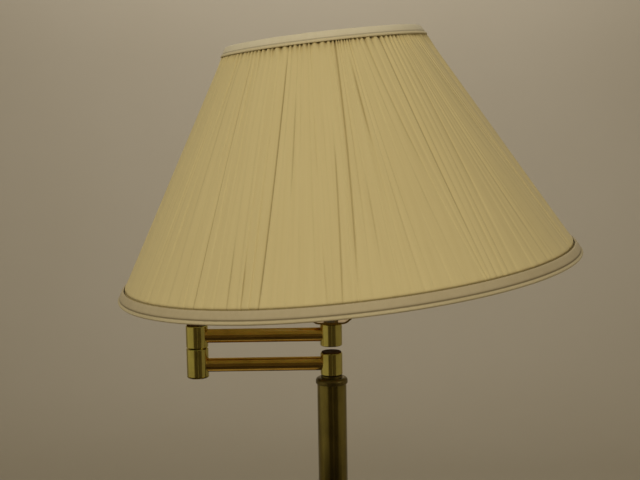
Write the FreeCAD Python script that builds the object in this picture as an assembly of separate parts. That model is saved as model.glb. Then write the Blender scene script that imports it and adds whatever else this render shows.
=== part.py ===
import FreeCAD, Part
import math
import os

from FreeCAD import Rotation, Vector

# Bridge floor lamp: a weighted round base, a straight pole in three screwed lengths, two short
# swing arms folded over one another, and a socket and harp that carry a pleated empire shade.
# Millimetres and degrees. Origin on the floor, on the pole's axis. +Z is up. The lower arm
# points along -X from the pole and the upper arm comes back over it along +X.

# ------------------------------------------------------------------ driving dimensions: fits
running_clearance = 0.05        # radial, a bore that turns on its stem
slide_clearance = 0.08          # radial, a sleeve that slides on its wire
seat_clearance = 0.1            # radial, a plug, tube or washer in or round its seat
soft_clearance = 0.3            # between cloth and the piece that lies over it
turning_gap = 0.05              # between two flat faces that turn on one another

# ------------------------------------------------------------------ driving dimensions: base
base_radius = 140.0             # outside of the cover's skirt
cover_wall = 1.2
skirt_foot = 1.5                # the cover's edge above the floor
skirt_height = 12.0
skirt_bead = 4.0                # rounding over the skirt
ledge_width = 6.0
ledge_rise = 2.0
dome_rise = 10.5                # from the ledge's step up to the flat crown
dome_bulge = 2.5                # how far the dome stands over a straight cone
crown_radius = 30.0
felt_thickness = 2.0
felt_inset = 8.0                # the felt's edge inside the skirt
weight_gap = 12.0               # the weight's rim inside the skirt
weight_thickness = 14.3
weight_boss_inset = 2.0         # the boss inside the cover's flat crown
counterbore_radius = 14.0
base_nut_height = 6.0           # the nut under the weight, above the felt
lead_channel_width = 12.0       # in the weight's underside, from the inlet to the centre
lead_channel_depth = 8.0
inlet_hole_radius = 4.5
inlet_bore_radius = 3.2
inlet_flange = 1.1              # radial
inlet_flange_thickness = 1.6
terminal_length = 22.0
terminal_height = 6.5
terminal_from_rim = 23.0        # the block's outer end inside the skirt
collar_radius = 24.0
collar_seat_height = 8.0        # the pole's lower end above the cover
collar_foot = 2.0
collar_lip_height = 6.0
collar_lip_wall = 1.9
collar_lip_band = 2.0           # the straight band at the top of the lip
collar_lip_edge = 0.8           # chamfer
stem_in_insert = 17.0           # how far the base's stem reaches into the pole

# ------------------------------------------------------------------ driving dimensions: pole
pole_radius = 12.7
pole_wall = 1.2
pole_length = 371.0             # one of the three lengths
foot_insert_height = 24.0
coupling_length = 40.0
coupling_wall = 3.4
cap_wall = 1.05                 # how far the cap stands out round the pole
cap_skirt = 1.6
cap_plate = 5.5
cap_shoulder_width = 3.4
cap_shoulder_height = 2.7
cap_boss_radius = 9.2           # the raised seat under the knuckle
cap_boss_height = 1.6
cap_edge = 0.5                  # chamfer
cap_plug_depth = 16.0

# ------------------------------------------------------------------ driving dimensions: arms
arm_length = 115.5              # between the axes at an arm's two ends
arm_tube_radius = 6.0
arm_tube_wall = 1.0
elbow_rise = 6.35               # the extra neck that lifts the upper arm
stem_radius = 4.8               # hollow threaded stems
stem_bore_radius = 3.0
stem_end = 0.4                  # stem standing out of its nut
nut_height = 2.6
nut_wall = 0.7                  # at the middle of a flat
nut_room = 0.85                 # round a nut's corners, inside a knuckle
knuckle_wall = 2.325
knuckle_lip = 0.225             # between the tube's hole and the pivot wall
pivot_wall = 3.2
knuckle_edge = 0.5              # chamfer
knuckle_plug = 2.0
top_cap_margin = 0.9            # of a knuckle's top left bare round its cap
top_cap_height = 0.9
top_cap_rounding = 0.6
elbow_cap_flange = 1.2
thrust_washer_thickness = 0.8
tension_washer_thickness = 0.8
washer_width = 1.7
stop_lug_radius = 0.8
stop_lug_clearance = 0.2
stop_lug_reach = 1.4            # above the washer, into the groove
stop_groove_depth = 1.7
swing_limit = 165.0             # each way, both pivots
swing_play = 0.3                # degrees past the limit before the lug meets the land

# ------------------------------------------------------------------ driving dimensions: lead
lead_radius = 1.6
lead_bend_radius = 4.2
lead_bend_room = 1.07           # share of the bend's radius that a bend takes up of each run
lead_over_felt = 0.3

# ------------------------------------------------------------------ driving dimensions: socket
saddle_thickness = 1.6
saddle_width = 11.0
saddle_bend_radius = 7.0
saddle_flat_half = 12.5         # the level stretch, to each side of the socket's axis
saddle_rise_angle = 40.0        # of the stretch from there out to the ear
ear_half_span = 27.0            # from the socket's axis to the middle of an ear
ear_height = 18.0               # above the knuckle
ear_tongue_radius = 1.3
ear_tongue_height = 12.0
socket_cap_radius = 17.2
socket_cap_wall = 0.8
socket_cap_neck = 2.4           # the neck's wall outside the stem
socket_cap_neck_height = 2.5
socket_cap_flare = 10.0         # height at which the cap reaches its full radius
socket_cap_height = 19.0
socket_boss_height = 7.0
shell_wall = 0.5
shell_height = 47.0
liner_wall = 0.6
body_height = 22.0
body_seat = 10.4                # the body's underside above the cap's
screw_shell_wall = 0.5
screw_shell_height = 23.0
contact_radius = 3.0
contact_height = 2.5
bulb_base_radius = 13.0
bulb_base_height = 25.0
bulb_base_wall = 0.6
bulb_base_taper = 5.0           # height of the cone from the contact out to the thread
bulb_radius = 30.0
bulb_length = 108.0             # from the contact to the top
bulb_glass_wall = 1.0
bulb_neck_radius = 14.0
bulb_neck_height = 12.0
bulb_shoulder_angle = 40.0      # below the globe's widest place, where the neck begins
key_radius = 1.6
key_hole_margin = 1.4
key_root = 6.0                  # from the socket's axis to the shaft's inner end
key_level = 13.0                # above the body's underside
knob_radius = 6.5
knob_length = 9.0
knob_gap = 6.0                  # from the shell to the knob
knob_flutes = 12
knob_flute_radius = 1.0

# ------------------------------------------------------------------ driving dimensions: harp
harp_height = 228.6             # from the saddle to the shade's seat
harp_wire_radius = 2.2
harp_half_width = 57.0
harp_leg_height = 50.0          # straight leg above the ear
harp_bow_rise = 48.0            # from the leg's bend to the widest stretch
harp_side_height = 56.0         # the widest stretch
harp_shoulder_drop = 21.0       # the upper bend below the crown
harp_shoulder_half_width = 38.0
harp_crown_half_width = 16.0
sleeve_wall = 1.3
sleeve_length = 16.0
crown_radius_top = 8.5
crown_plate = 2.0
crown_neck_radius = 5.0
crown_depth = 10.0
crown_wire_drop = 6.0           # the wire's centre below the seat
crown_seam = 90.0               # degrees, where the crown's turned faces close
stud_radius = 3.1
stud_height = 13.0

# ------------------------------------------------------------------ driving dimensions: shade
shade_bottom_radius = 196.3     # outside of the trim
shade_top_radius = 82.3
shade_height = 196.5            # along the shade's own axis
shade_lean_left = 5.5           # the shade's top leans towards -X
shade_lean_front = 1.7          # and towards -Y
shade_seat_x = -2.0             # the harp's crown stands off the socket's axis
hub_drop = 12.0                 # the hub's seat below the shade's top edge
hub_radius = 14.0
hub_thickness = 2.0
hub_hole_play = 0.3
spider_arms = 3
spider_first_angle = 60.0
frame_wire_radius = 1.6
spider_rise_run = 7.0           # how far inside the ring an arm starts to climb
trim_wall = 1.0
trim_roll_radius = 1.3
trim_roll_stand_out = 0.6
bottom_trim_height = 8.8
top_trim_height = 8.0
edge_turn = 1.0                 # the trim turned over the shade's edge
pleat_count = 140
pleat_depth_bottom = 1.2
pleat_depth_top = 1.2
pleat_backing = 1.6
fold_variation = 0.45           # how unevenly the gathers are drawn in
lining_wall = 0.6
finial_foot_radius = 6.5
finial_foot_height = 1.6
finial_taper = 1.6              # from the foot in to the waist
finial_waist_radius = 4.6
finial_ball_radius = 5.6
finial_height = 14.0

# ------------------------------------------------------------------ worked-out levels and sizes
skirt_top = skirt_foot + skirt_height
ledge_level = skirt_top + skirt_bead
step_radius = base_radius - skirt_bead - ledge_width
dome_level = ledge_level + ledge_rise
crown_level = dome_level + dome_rise
crown_underside = crown_level - cover_wall
pole_seat = crown_level + collar_seat_height
pole_top = pole_seat + 3 * pole_length
pole_bore_radius = pole_radius - pole_wall
cap_top = pole_top + cap_plate

nut_across_flats = 2 * (stem_radius + nut_wall)
nut_corner_radius = nut_across_flats / 2 / math.cos(math.radians(30))
chamber_radius = nut_corner_radius + nut_room
knuckle_radius = chamber_radius + knuckle_wall
tube_hole_radius = arm_tube_radius + seat_clearance
knuckle_half_height = tube_hole_radius + knuckle_lip + pivot_wall
washer_radius = stem_radius + seat_clearance + washer_width
stop_radius = washer_radius + 0.5 * stop_lug_clearance + stop_lug_clearance + stop_lug_radius

lower_level = cap_top + thrust_washer_thickness + knuckle_half_height
elbow_seam = lower_level + knuckle_half_height + elbow_rise
upper_level = elbow_seam + knuckle_half_height
knuckle_top = upper_level + knuckle_half_height
elbow_x = -arm_length

post_stem_top = (lower_level - knuckle_half_height + pivot_wall
                 + tension_washer_thickness + nut_height + stem_end)
elbow_stem_top = post_stem_top - lower_level + upper_level

saddle_top = knuckle_top + saddle_thickness
socket_base = saddle_top + nut_height
body_base = socket_base + body_seat
body_top = body_base + body_height
shell_radius = socket_cap_radius - socket_cap_wall - seat_clearance
liner_radius = shell_radius - shell_wall - seat_clearance
body_radius = liner_radius - liner_wall - seat_clearance
shell_base = socket_base + socket_cap_flare + seat_clearance
contact_level = body_top + contact_height
ear_top = knuckle_top + ear_height

seat_level = saddle_top + harp_height
top_edge = hub_drop                              # in the shade's own frame, from the hub's seat
bottom_edge = hub_drop - shade_height
shade_slope = (shade_bottom_radius - shade_top_radius) / shade_height


# ------------------------------------------------------------------ shape helpers
def at(x=0.0, y=0.0, z=0.0):
    """A point, written by name."""
    return Vector(x, y, z)


def rod(radius, start, end):
    """A round bar from one point to another."""
    return Part.makeCylinder(radius, (end - start).Length, start, end - start)


def ring(outer, inner, low, high, x=0.0):
    """A flat-ended ring about a vertical axis."""
    return rod(outer, at(x, 0, low), at(x, 0, high)).cut(rod(inner, at(x, 0, low), at(x, 0, high)))


def lathe(outline, x=0.0):
    """Turn a closed outline about a vertical axis.

    A step (r, z) is a straight line to that point; a step (r, z, through_r, through_z) is an
    arc that ends at (r, z) and passes through the second point.
    """
    edges = []
    last = at(outline[0][0], 0, outline[0][1])
    for step in outline[1:] + outline[:1]:
        point = at(step[0], 0, step[1])
        if len(step) == 4:
            edges.append(Part.Arc(last, at(step[2], 0, step[3]), point).toShape())
        elif (point - last).Length > 1e-6:
            edges.append(Part.LineSegment(last, point).toShape())
        last = point
    face = Part.Face(Part.Wire(edges))
    turned = face.revolve(at(), at(z=1), 360)
    turned.translate(at(x))
    return turned


def quarter(start, end, radial_first):
    """A lathe step that rounds a corner: it leaves start along r, or along z, and ends square to it."""
    early = 1 - math.sin(math.radians(45))
    late = 1 - early
    share_r, share_z = (late, early) if radial_first else (early, late)
    return (end[0], end[1], start[0] + share_r * (end[0] - start[0]),
            start[1] + share_z * (end[1] - start[1]))


def nut(low, x=0.0):
    """A thin hexagonal nut on a stem."""
    corners = [at(x + nut_corner_radius * math.cos(math.radians(60 * k)),
                  nut_corner_radius * math.sin(math.radians(60 * k)), low) for k in range(7)]
    block = Part.Face(Part.makePolygon(corners)).extrude(at(z=nut_height))
    return block.cut(rod(stem_radius + running_clearance, at(x, 0, low), at(x, 0, low + nut_height)))


def bent_path(points, bend_radius=None):
    """Straight runs joined by tangent arcs: one radius, or the largest that the runs allow."""
    edges = []
    last = points[0]
    for before, corner, after in zip(points, points[1:], points[2:]):
        come = (corner - before).normalize()
        go = (after - corner).normalize()
        turn = come.getAngle(go)
        shorter = min((corner - before).Length, (after - corner).Length)
        radius = bend_radius or 0.45 * shorter / math.tan(turn / 2)
        reach = radius * math.tan(turn / 2)
        start = corner - come * reach
        end = corner + go * reach
        inward = (go - come).normalize()
        middle = corner + inward * (radius / math.cos(turn / 2) - radius)
        edges.append(Part.LineSegment(last, start).toShape())
        edges.append(Part.Arc(start, middle, end).toShape())
        last = end
    edges.append(Part.LineSegment(last, points[-1]).toShape())
    return Part.Wire(edges)


def wire_along(path, radius):
    """A round wire swept along a bent path."""
    first = path.Edges[0]
    start = first.valueAt(first.FirstParameter)
    section = Part.Wire(Part.makeCircle(radius, start, first.tangentAt(first.FirstParameter)))
    return path.makePipeShell([section], True, False)


def fuse_all(shapes):
    """One solid from pieces that are cast, welded or soldered together."""
    return shapes[0].multiFuse(shapes[1:]).removeSplitter()


# ------------------------------------------------------------------ base
def cover_outline(inset):
    """The cover's outer outline, or its inner one when inset is the wall."""
    mid_radius = (step_radius + crown_radius) / 2
    mid_level = (dome_level + crown_level) / 2 + dome_bulge
    rim = base_radius - inset
    low = skirt_foot - inset
    bead_start = (rim, skirt_top - inset)
    return [
        (0, low),
        (rim, low),
        bead_start,
        quarter(bead_start, (rim - skirt_bead, ledge_level - inset), False),
        (step_radius - inset, ledge_level - inset),
        (step_radius - ledge_rise - inset, dome_level - inset),
        (crown_radius - inset, crown_level - inset, mid_radius - inset, mid_level - inset),
        (0, crown_level - inset),
    ]


def make_base():
    """Felt, weight, spun cover, cord inlet, fixings and the pole's collar."""
    inlet_level = skirt_foot + skirt_height / 2
    stem_hole = stem_radius + seat_clearance
    hole = rod(stem_hole, at(), at(z=crown_level + 1))
    inlet_hole = rod(inlet_hole_radius, at(0, base_radius / 2, inlet_level),
                     at(0, base_radius + 1, inlet_level))

    felt = rod(base_radius - felt_inset, at(), at(z=felt_thickness))

    nut_low = felt_thickness + base_nut_height
    nut_high = nut_low + nut_height
    washer_high = nut_high + tension_washer_thickness
    weight = rod(base_radius - weight_gap, at(z=felt_thickness),
                 at(z=felt_thickness + weight_thickness))
    weight = weight.fuse(rod(crown_radius - cover_wall - weight_boss_inset, at(z=felt_thickness),
                             at(z=crown_underside)))
    channel = Part.makeBox(lead_channel_width, base_radius, lead_channel_depth,
                           at(-lead_channel_width / 2, 0, felt_thickness))
    weight = weight.cut(channel).cut(hole)
    weight = weight.cut(rod(counterbore_radius, at(), at(z=washer_high)))

    cover = lathe(cover_outline(0)).cut(lathe(cover_outline(cover_wall)))
    cover = cover.cut(hole).cut(inlet_hole)

    inlet_inner = base_radius - cover_wall - inlet_flange_thickness - seat_clearance
    inlet_outer = base_radius + inlet_flange_thickness + seat_clearance
    flange = inlet_hole_radius + inlet_flange
    grommet = rod(flange, at(0, inlet_inner, inlet_level), at(0, inlet_outer, inlet_level))
    groove_low = at(0, base_radius - cover_wall - 2 * seat_clearance, inlet_level)
    groove_high = at(0, base_radius + seat_clearance, inlet_level)
    groove = rod(flange + 1, groove_low, groove_high)
    groove = groove.cut(rod(inlet_hole_radius - seat_clearance, groove_low, groove_high))
    grommet = grommet.cut(groove)
    grommet = grommet.cut(rod(inlet_bore_radius, at(0, inlet_inner, inlet_level),
                              at(0, inlet_outer, inlet_level)))

    terminal_inner = base_radius - terminal_from_rim - terminal_length
    terminal_width = lead_channel_width - 2 * seat_clearance
    terminal = Part.makeBox(terminal_width, terminal_length, terminal_height,
                            at(-terminal_width / 2, terminal_inner, felt_thickness))

    stem_low = nut_low - stem_end
    stem_high = pole_seat + stem_in_insert
    stem = ring(stem_radius, stem_bore_radius, stem_low, stem_high)

    recess_radius = pole_radius + seat_clearance
    lip_top = pole_seat + collar_lip_height
    lip_radius = recess_radius + collar_lip_wall
    foot_corner = (collar_radius, crown_level + collar_foot)
    collar = lathe([
        (stem_hole, crown_level),
        (collar_radius, crown_level),
        foot_corner,
        quarter(foot_corner, (lip_radius, lip_top - collar_lip_band), True),
        (lip_radius, lip_top - collar_lip_edge),
        (lip_radius - collar_lip_edge, lip_top),
        (recess_radius, lip_top),
        (recess_radius, pole_seat),
        (stem_hole, pole_seat),
    ])
    return {
        "base_felt": felt,
        "base_weight": weight,
        "base_cover": cover,
        "cord_grommet": grommet,
        "terminal_block": terminal,
        "base_nut": nut(nut_low),
        "base_washer": ring(counterbore_radius - 2 * seat_clearance, stem_hole, nut_high, washer_high),
        "base_stem": stem,
        "base_collar": collar,
    }


# ------------------------------------------------------------------ pole
def make_pole():
    """Three tubes, what joins them, the cap with its stop lug, and the lead inside."""
    nodes = {}
    joints = []
    for index, name in enumerate(("lower_pole", "middle_pole", "upper_pole")):
        low = pole_seat + index * pole_length
        nodes[name] = ring(pole_radius, pole_bore_radius, low, low + pole_length)
        joints.append(low)
    insert_radius = pole_bore_radius - seat_clearance
    stem_hole = stem_radius + seat_clearance
    nodes["pole_foot_insert"] = ring(insert_radius, stem_hole, pole_seat,
                                     pole_seat + foot_insert_height)
    couplings = [ring(insert_radius, insert_radius - coupling_wall,
                      level - coupling_length / 2, level + coupling_length / 2)
                 for level in joints[1:]]
    nodes["pole_couplings"] = Part.makeCompound(couplings)

    cap_radius = pole_radius + cap_wall
    skirt_bore = pole_radius + seat_clearance
    shoulder_top = cap_top - cap_boss_height
    shoulder_start = (cap_radius, shoulder_top - cap_shoulder_height)
    cap = lathe([
        (stem_hole, pole_top - cap_plug_depth),
        (insert_radius, pole_top - cap_plug_depth),
        (insert_radius, pole_top),
        (skirt_bore, pole_top),
        (skirt_bore, pole_top - cap_skirt),
        (cap_radius - cap_edge, pole_top - cap_skirt),
        (cap_radius, pole_top - cap_skirt + cap_edge),
        shoulder_start,
        quarter(shoulder_start, (cap_radius - cap_shoulder_width, shoulder_top), False),
        (cap_boss_radius, shoulder_top),
        (cap_boss_radius, cap_top),
        (stem_hole, cap_top),
    ])
    lug = rod(stop_lug_radius, at(stop_radius, 0, cap_top - 1),
              at(stop_radius, 0, cap_top + thrust_washer_thickness + stop_lug_reach))
    nodes["pole_cap"] = cap.fuse(lug)

    nodes["post_stem"] = ring(stem_radius, stem_bore_radius, pole_top - cap_plug_depth, post_stem_top)
    wall_top = lower_level - knuckle_half_height + pivot_wall
    nodes["post_washers"] = Part.makeCompound([
        ring(washer_radius, stem_radius + seat_clearance, cap_top, cap_top + thrust_washer_thickness),
        ring(washer_radius, stem_radius + seat_clearance, wall_top,
             wall_top + tension_washer_thickness),
    ])
    nodes["post_nut"] = nut(wall_top + tension_washer_thickness)

    lead_level = felt_thickness + lead_over_felt + lead_radius
    lead_start = base_radius - terminal_from_rim - terminal_length
    route = [at(0, lead_start, lead_level), at(0, 0, lead_level), at(0, 0, post_stem_top)]
    nodes["pole_lead"] = wire_along(bent_path(route, lead_bend_radius), lead_radius)
    return nodes


# ------------------------------------------------------------------ arms
def knuckle_block(x, low, high):
    """A turned cylinder with its rims eased."""
    edge = knuckle_edge
    return lathe([
        (0, low),
        (knuckle_radius - edge, low),
        (knuckle_radius, low + edge),
        (knuckle_radius, high - edge),
        (knuckle_radius - edge, high),
        (0, high),
    ], x)


def stop_groove(x, low, land_angle, lug_half_angle):
    """The groove that the stop lug runs in, all round but for the land that it stops on."""
    half_land = 180 - swing_limit - lug_half_angle - swing_play
    inner = stop_radius - stop_lug_radius - stop_lug_clearance
    outer = stop_radius + stop_lug_radius + stop_lug_clearance
    section = Part.Face(Part.makePolygon([
        at(inner, 0, low - 1), at(outer, 0, low - 1), at(outer, 0, low + stop_groove_depth),
        at(inner, 0, low + stop_groove_depth), at(inner, 0, low - 1)]))
    groove = section.revolve(at(), at(z=1), 360 - 2 * half_land)
    groove.rotate(at(), at(z=1), land_angle + half_land)
    groove.translate(at(x))
    return groove


def knuckle_on_stem(x, level, tube_side, land_angle):
    """A knuckle that turns on a stem from below: chamber open at the top, stop groove beneath."""
    low = level - knuckle_half_height
    high = level + knuckle_half_height
    body = knuckle_block(x, low, high)
    body = body.cut(rod(chamber_radius, at(x, 0, low + pivot_wall), at(x, 0, high)))
    body = body.cut(rod(stem_radius + running_clearance, at(x, 0, low), at(x, 0, high)))
    body = body.cut(rod(tube_hole_radius, at(x, 0, level),
                        at(x + tube_side * (knuckle_radius + 1), 0, level)))
    lug_half_angle = math.degrees(math.asin(stop_lug_radius / stop_radius))
    return body.cut(stop_groove(x, low, land_angle, lug_half_angle))


def knuckle_with_stem(x, level, tube_side, rise):
    """A knuckle that holds a stem in its top wall: chamber open at the bottom."""
    low = level - knuckle_half_height
    high = level + knuckle_half_height + rise
    body = knuckle_block(x, low, high)
    body = body.cut(rod(chamber_radius, at(x, 0, low),
                        at(x, 0, level + knuckle_half_height - pivot_wall)))
    body = body.cut(rod(stem_radius + seat_clearance, at(x, 0, low), at(x, 0, high)))
    return body.cut(rod(tube_hole_radius, at(x, 0, level),
                        at(x + tube_side * (knuckle_radius + 1), 0, level)))


def top_cap(x, seat):
    """A knuckle's low cap: a plug in the chamber under a round-edged disc."""
    plug_radius = chamber_radius - seat_clearance
    disc_radius = knuckle_radius - top_cap_margin
    rounding_start = (disc_radius, seat + top_cap_height - top_cap_rounding)
    return lathe([
        (0, seat - knuckle_plug),
        (plug_radius, seat - knuckle_plug),
        (plug_radius, seat),
        (disc_radius, seat),
        rounding_start,
        quarter(rounding_start, (disc_radius - top_cap_rounding, seat + top_cap_height), False),
        (0, seat + top_cap_height),
    ], x)


def arm_tube(level):
    """A brass tube from chamber to chamber, its ends shaped to both."""
    tube = rod(arm_tube_radius, at(elbow_x, 0, level), at(0, 0, level))
    tube = tube.cut(rod(arm_tube_radius - arm_tube_wall, at(elbow_x, 0, level), at(0, 0, level)))
    for x in (elbow_x, 0):
        tube = tube.cut(rod(chamber_radius + seat_clearance, at(x, 0, level - 2 * arm_tube_radius),
                            at(x, 0, level + 2 * arm_tube_radius)))
    return tube


def arm_lead(start, end, level, start_level, end_level):
    """The lead through one arm: up out of a stem, along the tube and up into the next stem."""
    reach = lead_bend_radius * lead_bend_room
    stem_low = level + knuckle_half_height - pivot_wall - nut_height - stem_end
    route = [at(start, 0, start_level), at(start, 0, start_level + reach),
             at(end, 0, stem_low - reach), at(end, 0, end_level)]
    return wire_along(bent_path(route, lead_bend_radius), lead_radius)


def make_lower_arm():
    """Post knuckle, tube and the elbow's lower knuckle with its stem and stop lug."""
    ceiling = lower_level + knuckle_half_height - pivot_wall
    low = lower_level - knuckle_half_height
    high = lower_level + knuckle_half_height
    plug_radius = chamber_radius - seat_clearance

    elbow = knuckle_with_stem(elbow_x, lower_level, 1, elbow_rise - thrust_washer_thickness)
    lug_top = elbow_seam + stop_lug_reach
    lug_x = elbow_x + stop_radius
    elbow = elbow.fuse(rod(stop_lug_radius, at(lug_x, 0, high), at(lug_x, 0, lug_top)))

    rounding_start = (knuckle_radius - elbow_cap_flange, low - elbow_cap_flange)
    bottom_cap = lathe([
        (0, low - elbow_cap_flange),
        rounding_start,
        quarter(rounding_start, (knuckle_radius, low), True),
        (plug_radius, low),
        (plug_radius, low + knuckle_plug),
        (0, low + knuckle_plug),
    ], elbow_x)

    seam_wall_top = elbow_seam + pivot_wall
    stem_low = ceiling - nut_height - stem_end
    washers = [
        ring(washer_radius, stem_radius + seat_clearance, elbow_seam - thrust_washer_thickness,
             elbow_seam, elbow_x),
        ring(washer_radius, stem_radius + seat_clearance, seam_wall_top,
             seam_wall_top + tension_washer_thickness, elbow_x),
    ]
    nuts = [nut(ceiling - nut_height, elbow_x),
            nut(seam_wall_top + tension_washer_thickness, elbow_x)]
    return {
        "post_knuckle": knuckle_on_stem(0, lower_level, -1, 180),
        "post_knuckle_cap": top_cap(0, high),
        "lower_arm_tube": arm_tube(lower_level),
        "elbow_lower_knuckle": elbow,
        "elbow_bottom_cap": bottom_cap,
        "elbow_stem": ring(stem_radius, stem_bore_radius, stem_low, elbow_stem_top, elbow_x),
        "elbow_washers": Part.makeCompound(washers),
        "elbow_nuts": Part.makeCompound(nuts),
        "lower_arm_lead": arm_lead(0, elbow_x, lower_level, post_stem_top, elbow_stem_top),
    }


def make_upper_arm():
    """The elbow's upper knuckle, tube, and the knuckle that holds the socket's stem."""
    low = upper_level - knuckle_half_height
    plug_radius = chamber_radius - seat_clearance
    ceiling = knuckle_top - pivot_wall
    stem_low = ceiling - nut_height - stem_end
    nuts = [nut(ceiling - nut_height), nut(saddle_top)]
    return {
        "elbow_upper_knuckle": knuckle_on_stem(elbow_x, upper_level, 1, 180),
        "elbow_top_cap": top_cap(elbow_x, knuckle_top),
        "upper_arm_tube": arm_tube(upper_level),
        "socket_knuckle": knuckle_with_stem(0, upper_level, -1, 0),
        "socket_knuckle_cap": rod(plug_radius, at(z=low), at(z=low + knuckle_plug)),
        "socket_stem": ring(stem_radius, stem_bore_radius, stem_low,
                            socket_base + socket_boss_height),
        "socket_nuts": Part.makeCompound(nuts),
        "upper_arm_lead": arm_lead(elbow_x, 0, upper_level, elbow_stem_top, body_base),
    }


# ------------------------------------------------------------------ socket and bulb
def make_socket():
    """The lamp holder from its cap to the screw shell, with its turn key."""
    stem_hole = stem_radius + seat_clearance
    neck = stem_hole + socket_cap_neck
    flare = socket_base + socket_cap_flare
    cap_high = socket_base + socket_cap_height
    wall = socket_cap_wall
    neck_top = (neck, socket_base + socket_cap_neck_height)
    inner_neck = (neck, socket_base + socket_cap_neck_height + wall)
    inner_flare = quarter(inner_neck, (socket_cap_radius - wall, flare), True)
    cap = lathe([
        (stem_hole, socket_base),
        (neck, socket_base),
        neck_top,
        quarter(neck_top, (socket_cap_radius, flare), True),
        (socket_cap_radius, cap_high),
        (socket_cap_radius - wall, cap_high),
        (socket_cap_radius - wall, flare),
        inner_neck + inner_flare[2:],
        (neck, socket_base + socket_boss_height),
        (stem_hole, socket_base + socket_boss_height),
    ])
    shell_top = shell_base + shell_height
    key_height = body_base + key_level
    key_hole = rod(key_radius + key_hole_margin, at(0, 0, key_height),
                   at(0, -socket_cap_radius - 1, key_height))
    key_bore = rod(key_radius + running_clearance, at(0, -key_root + seat_clearance, key_height),
                   at(0, -body_radius - 1, key_height))
    key_start = at(0, -key_root, key_height)
    key_end = at(0, -shell_radius - knob_gap - knob_length / 2, key_height)

    shell = ring(shell_radius, shell_radius - shell_wall, shell_base, shell_top).cut(key_hole)
    liner_low = max(shell_base, body_base)
    liner = ring(liner_radius, liner_radius - liner_wall, liner_low, shell_top - 1).cut(key_hole)
    lead_seat = rod(stem_bore_radius, at(z=body_base - 1), at(z=body_base))
    body = rod(body_radius, at(z=body_base), at(z=body_top)).cut(key_bore).cut(lead_seat)
    screw_radius = bulb_base_radius + 2 * seat_clearance
    screw_shell = ring(screw_radius + screw_shell_wall, screw_radius, body_top,
                       body_top + screw_shell_height)
    contact = rod(contact_radius, at(z=body_top), at(z=contact_level))

    knob_low = -shell_radius - knob_gap
    knob = rod(knob_radius, at(0, knob_low, key_height), at(0, knob_low - knob_length, key_height))
    flutes = []
    for index in range(knob_flutes):
        angle = math.radians(360 * index / knob_flutes)
        side = at(knob_radius * math.cos(angle), 0, knob_radius * math.sin(angle))
        flutes.append(rod(knob_flute_radius, side + at(0, knob_low + 1, key_height),
                          side + at(0, knob_low - knob_length - 1, key_height)))
    knob = knob.cut(Part.makeCompound(flutes))
    knob = knob.cut(rod(key_radius + running_clearance, at(0, knob_low, key_height), key_end))
    return {
        "socket_cap": cap.cut(key_hole),
        "socket_shell": shell,
        "socket_liner": liner,
        "socket_body": body,
        "screw_shell": screw_shell,
        "centre_contact": contact,
        "switch_shaft": rod(key_radius, key_start, key_end),
        "switch_knob": knob,
    }


def make_bulb():
    """A plain round bulb: brass base and glass envelope."""
    base_low = contact_level
    base_high = base_low + bulb_base_height
    base = lathe([
        (0, base_low),
        (contact_radius, base_low),
        (bulb_base_radius, base_low + bulb_base_taper),
        (bulb_base_radius, base_high),
        (bulb_base_radius - bulb_base_wall, base_high),
        (bulb_base_radius - bulb_base_wall, base_low + bulb_base_taper + bulb_base_wall),
        (contact_radius, base_low + 2 * bulb_base_wall),
        (0, base_low + 2 * bulb_base_wall),
    ])
    centre = contact_level + bulb_length - bulb_radius
    neck_low = base_high
    neck_high = neck_low + bulb_neck_height
    shoulder = math.radians(bulb_shoulder_angle)

    def envelope(radius, neck, low, high):
        """The envelope's outline at one radius, with its neck."""
        return lathe([
            (0, low),
            (neck, low),
            (neck, high),
            (radius * math.cos(shoulder), centre - radius * math.sin(shoulder)),
            (0, centre + radius, radius, centre),
        ])

    outer = envelope(bulb_radius, bulb_neck_radius, neck_low, neck_high)
    inner = envelope(bulb_radius - bulb_glass_wall, bulb_neck_radius - bulb_glass_wall,
                     neck_low - 1, neck_high)
    return {"bulb_base": base, "bulb_glass": outer.cut(inner)}


# ------------------------------------------------------------------ harp
def lean(shape):
    """Move a shape from the shade's own upright frame to its leaning place on the harp."""
    axis = at(-math.tan(math.radians(shade_lean_left)), -math.tan(math.radians(shade_lean_front)), 1)
    moved = shape.copy()
    moved.Placement = FreeCAD.Placement(at(shade_seat_x, 0, seat_level),
                                        Rotation(at(z=1), axis)).multiply(moved.Placement)
    return moved


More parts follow.
